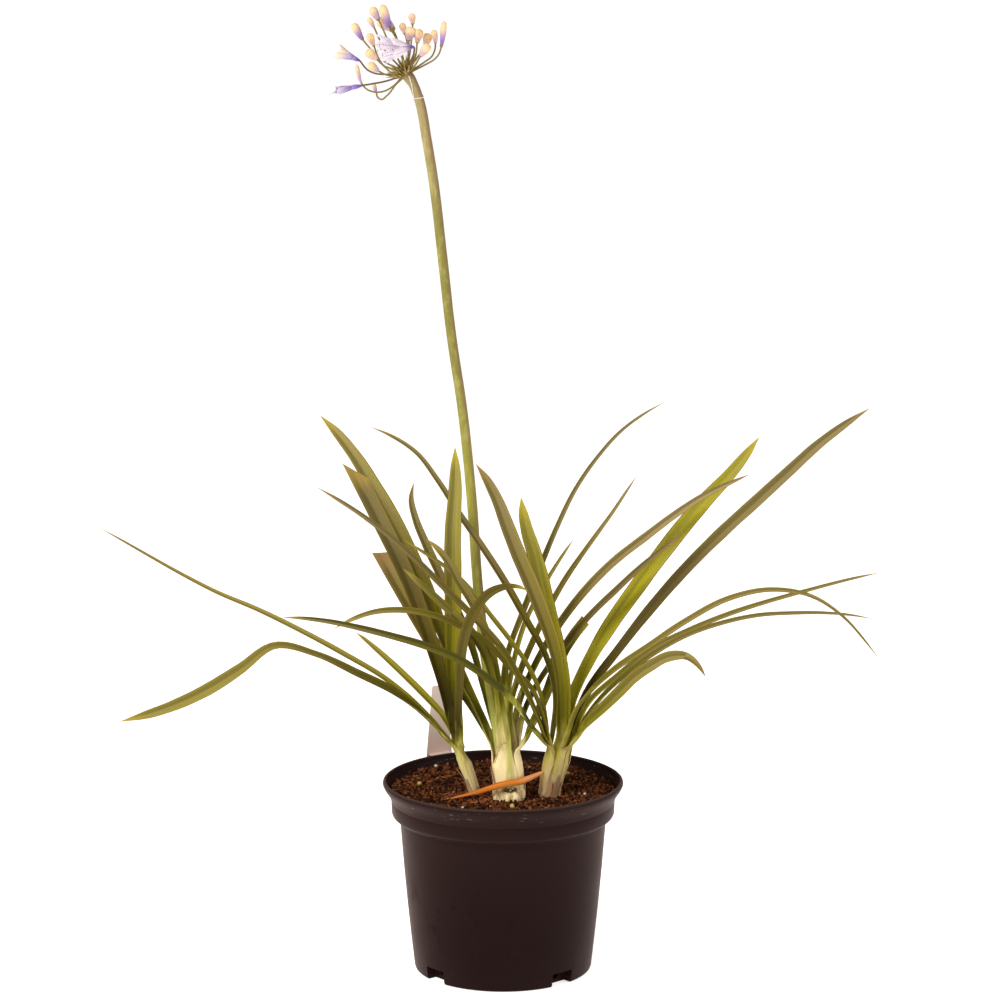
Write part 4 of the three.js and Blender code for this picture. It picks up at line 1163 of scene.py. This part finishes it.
# ---- withered leaf ----
# A dead leaf of the right shoot, dry and orange, that has folded along its middle. It hangs
# across the front of the middle shoot and its thin tail lies on the soil.
dry_film, graph, place = blank_material("dry_leaf_film")
wide, run, under = graph.attributes("wide", "run", "under")
fibre = graph.speckle(graph.arrow(wide * 5, run * 25, under * 0.5), 1, 5, 0.65)
colour = graph.coats(
    (0.6, 0.15, 0.008), (graph.rise(fibre, 0.35, 0.65), (0.88, 0.34, 0.04)),
    (graph.rise(wide, 0.15, 0.75) * 0.85, (0.42, 0.085, 0.006)),
    (graph.rise(wide, -0.6, -0.9) * 0.6, (0.5, 0.17, 0.04)),
    (graph.rise(run, 0.03, 0.012) * 0.6, (0.75, 0.36, 0.17)),
    (graph.rise(run, 0.07, 0.09) * 0.6, (0.42, 0.2, 0.1)),
)
graph.surface(colour, 0.6 + fibre * 0.2, 0.3, graph.bump(fibre, 0.0006, 0.8))
tip, rings, _ = rings_of("withered_leaf", sides=4, base=shoot_forms["right"][0][-1])
stations = [strap_station(ring) for ring in rings[::-1]]
spine = np.array([*[station[0] for station in stations], tip])
halves = np.array([*[station[2] for station in stations], 0.0002])
line = smooth_line(spine, 60)
at = run_of(line)
half = refine(run_of(spine), halves, at) * (1 + 0.06 * np.sin(at * 340))
half = np.maximum(half * np.interp(at, (0, 0.014), (0.6, 1)), 0.0002)
along = unit(np.gradient(line, axis=0))
withered = grow_chains("dry_orange_leaf", [chain(
    line, half, 0.0003, half * 0.45, lift=unit(np.cross(along, (0, 0.2, 1))), ridge=0.25,
)], dry_film, sides=16, crest=1.3)
ride_as(withered, "withered", "withered_leaf")


# ---- plant label ----
# A plain tag cut from thin pale sheet plastic and clipped over the back of the lip. It is blank,
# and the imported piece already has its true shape, so it only gets its finish.
label_plastic, graph, place = blank_material("label_plastic")
height = graph.split(place)[2]
haze = graph.speckle(place, 60, 4)
dirt = graph.rise(graph.speckle(place, 900, 3), 0.62, 0.75) * graph.rise(height, 0.19, 0.15)
colour = graph.coats(
    (0.66, 0.51, 0.47), (graph.rise(height, 0.15, 0.21), (0.84, 0.72, 0.68)),
    (haze * 0.3, (0.68, 0.56, 0.52)), (dirt * 0.3, (0.24, 0.15, 0.11)),
)
grain = graph.bump(graph.speckle(place, 1300, 2), 0.0001, 0.4)
graph.surface(colour, 0.4 + haze * 0.2, 0.35, grain)
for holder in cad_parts["plant_label"].material_slots:
    holder.material = label_plastic


# ---- floor and light ----
# A white studio sweep: the floor and the backdrop glow in one white, and all the light is a
# little warm. A large soft light stands in front on the left, a weaker one on the right.
floor_paper, graph, place = blank_material("floor_paper")
fibres = graph.speckle(place, 260, 3)
white = graph.blend(fibres, (0.93, 0.93, 0.93), (0.96, 0.96, 0.96))
graph.surface(white, 0.9, 0.1, graph.bump(fibres, 0.0001, 0.3), {
    "Emission Color": (1, 1, 1), "Emission Strength": 0.7,
})
sheet = bmesh.new()
bmesh.ops.create_circle(sheet, cap_ends=True, segments=96, radius=9)
floor = add_object("floor", keep_mesh("floor", sheet))
floor.data.materials.append(floor_paper)
floor.location.z = -0.0004


def soft_light(name, spot, size, power, tint):
    """A soft square light that shines from a spot at the middle of the plant."""
    lamp = bpy.data.lights.new(name, "AREA")
    lamp.size = size
    lamp.energy = power
    lamp.color = tint
    light = bpy.data.objects.new(name, lamp)
    light.location = spot
    way = Vector((0, 0, 0.35)) - Vector(spot)
    light.rotation_euler = way.to_track_quat("-Z", "Y").to_euler()
    bpy.context.scene.collection.objects.link(light)


soft_light("key", (-1.7, -1.5, 2.1), 1.3, 84, (1, 0.93, 0.84))
soft_light("fill", (2.1, -0.9, 1.2), 1.5, 24, (1, 0.93, 0.85))
world = bpy.data.worlds.new("studio")
world.use_nodes = True
world.node_tree.nodes.clear()
bpy.context.scene.world = world
graph = Graph(world.node_tree)
seen = graph.add("ShaderNodeLightPath").out("Is Camera Ray")
backdrop = graph.add("ShaderNodeBackground", {
    "Color": graph.blend(seen, (1, 0.92, 0.8), (1, 1, 1)), "Strength": 0.42 + seen * 0.62,
})
graph.add("ShaderNodeOutputWorld", {"Surface": backdrop})
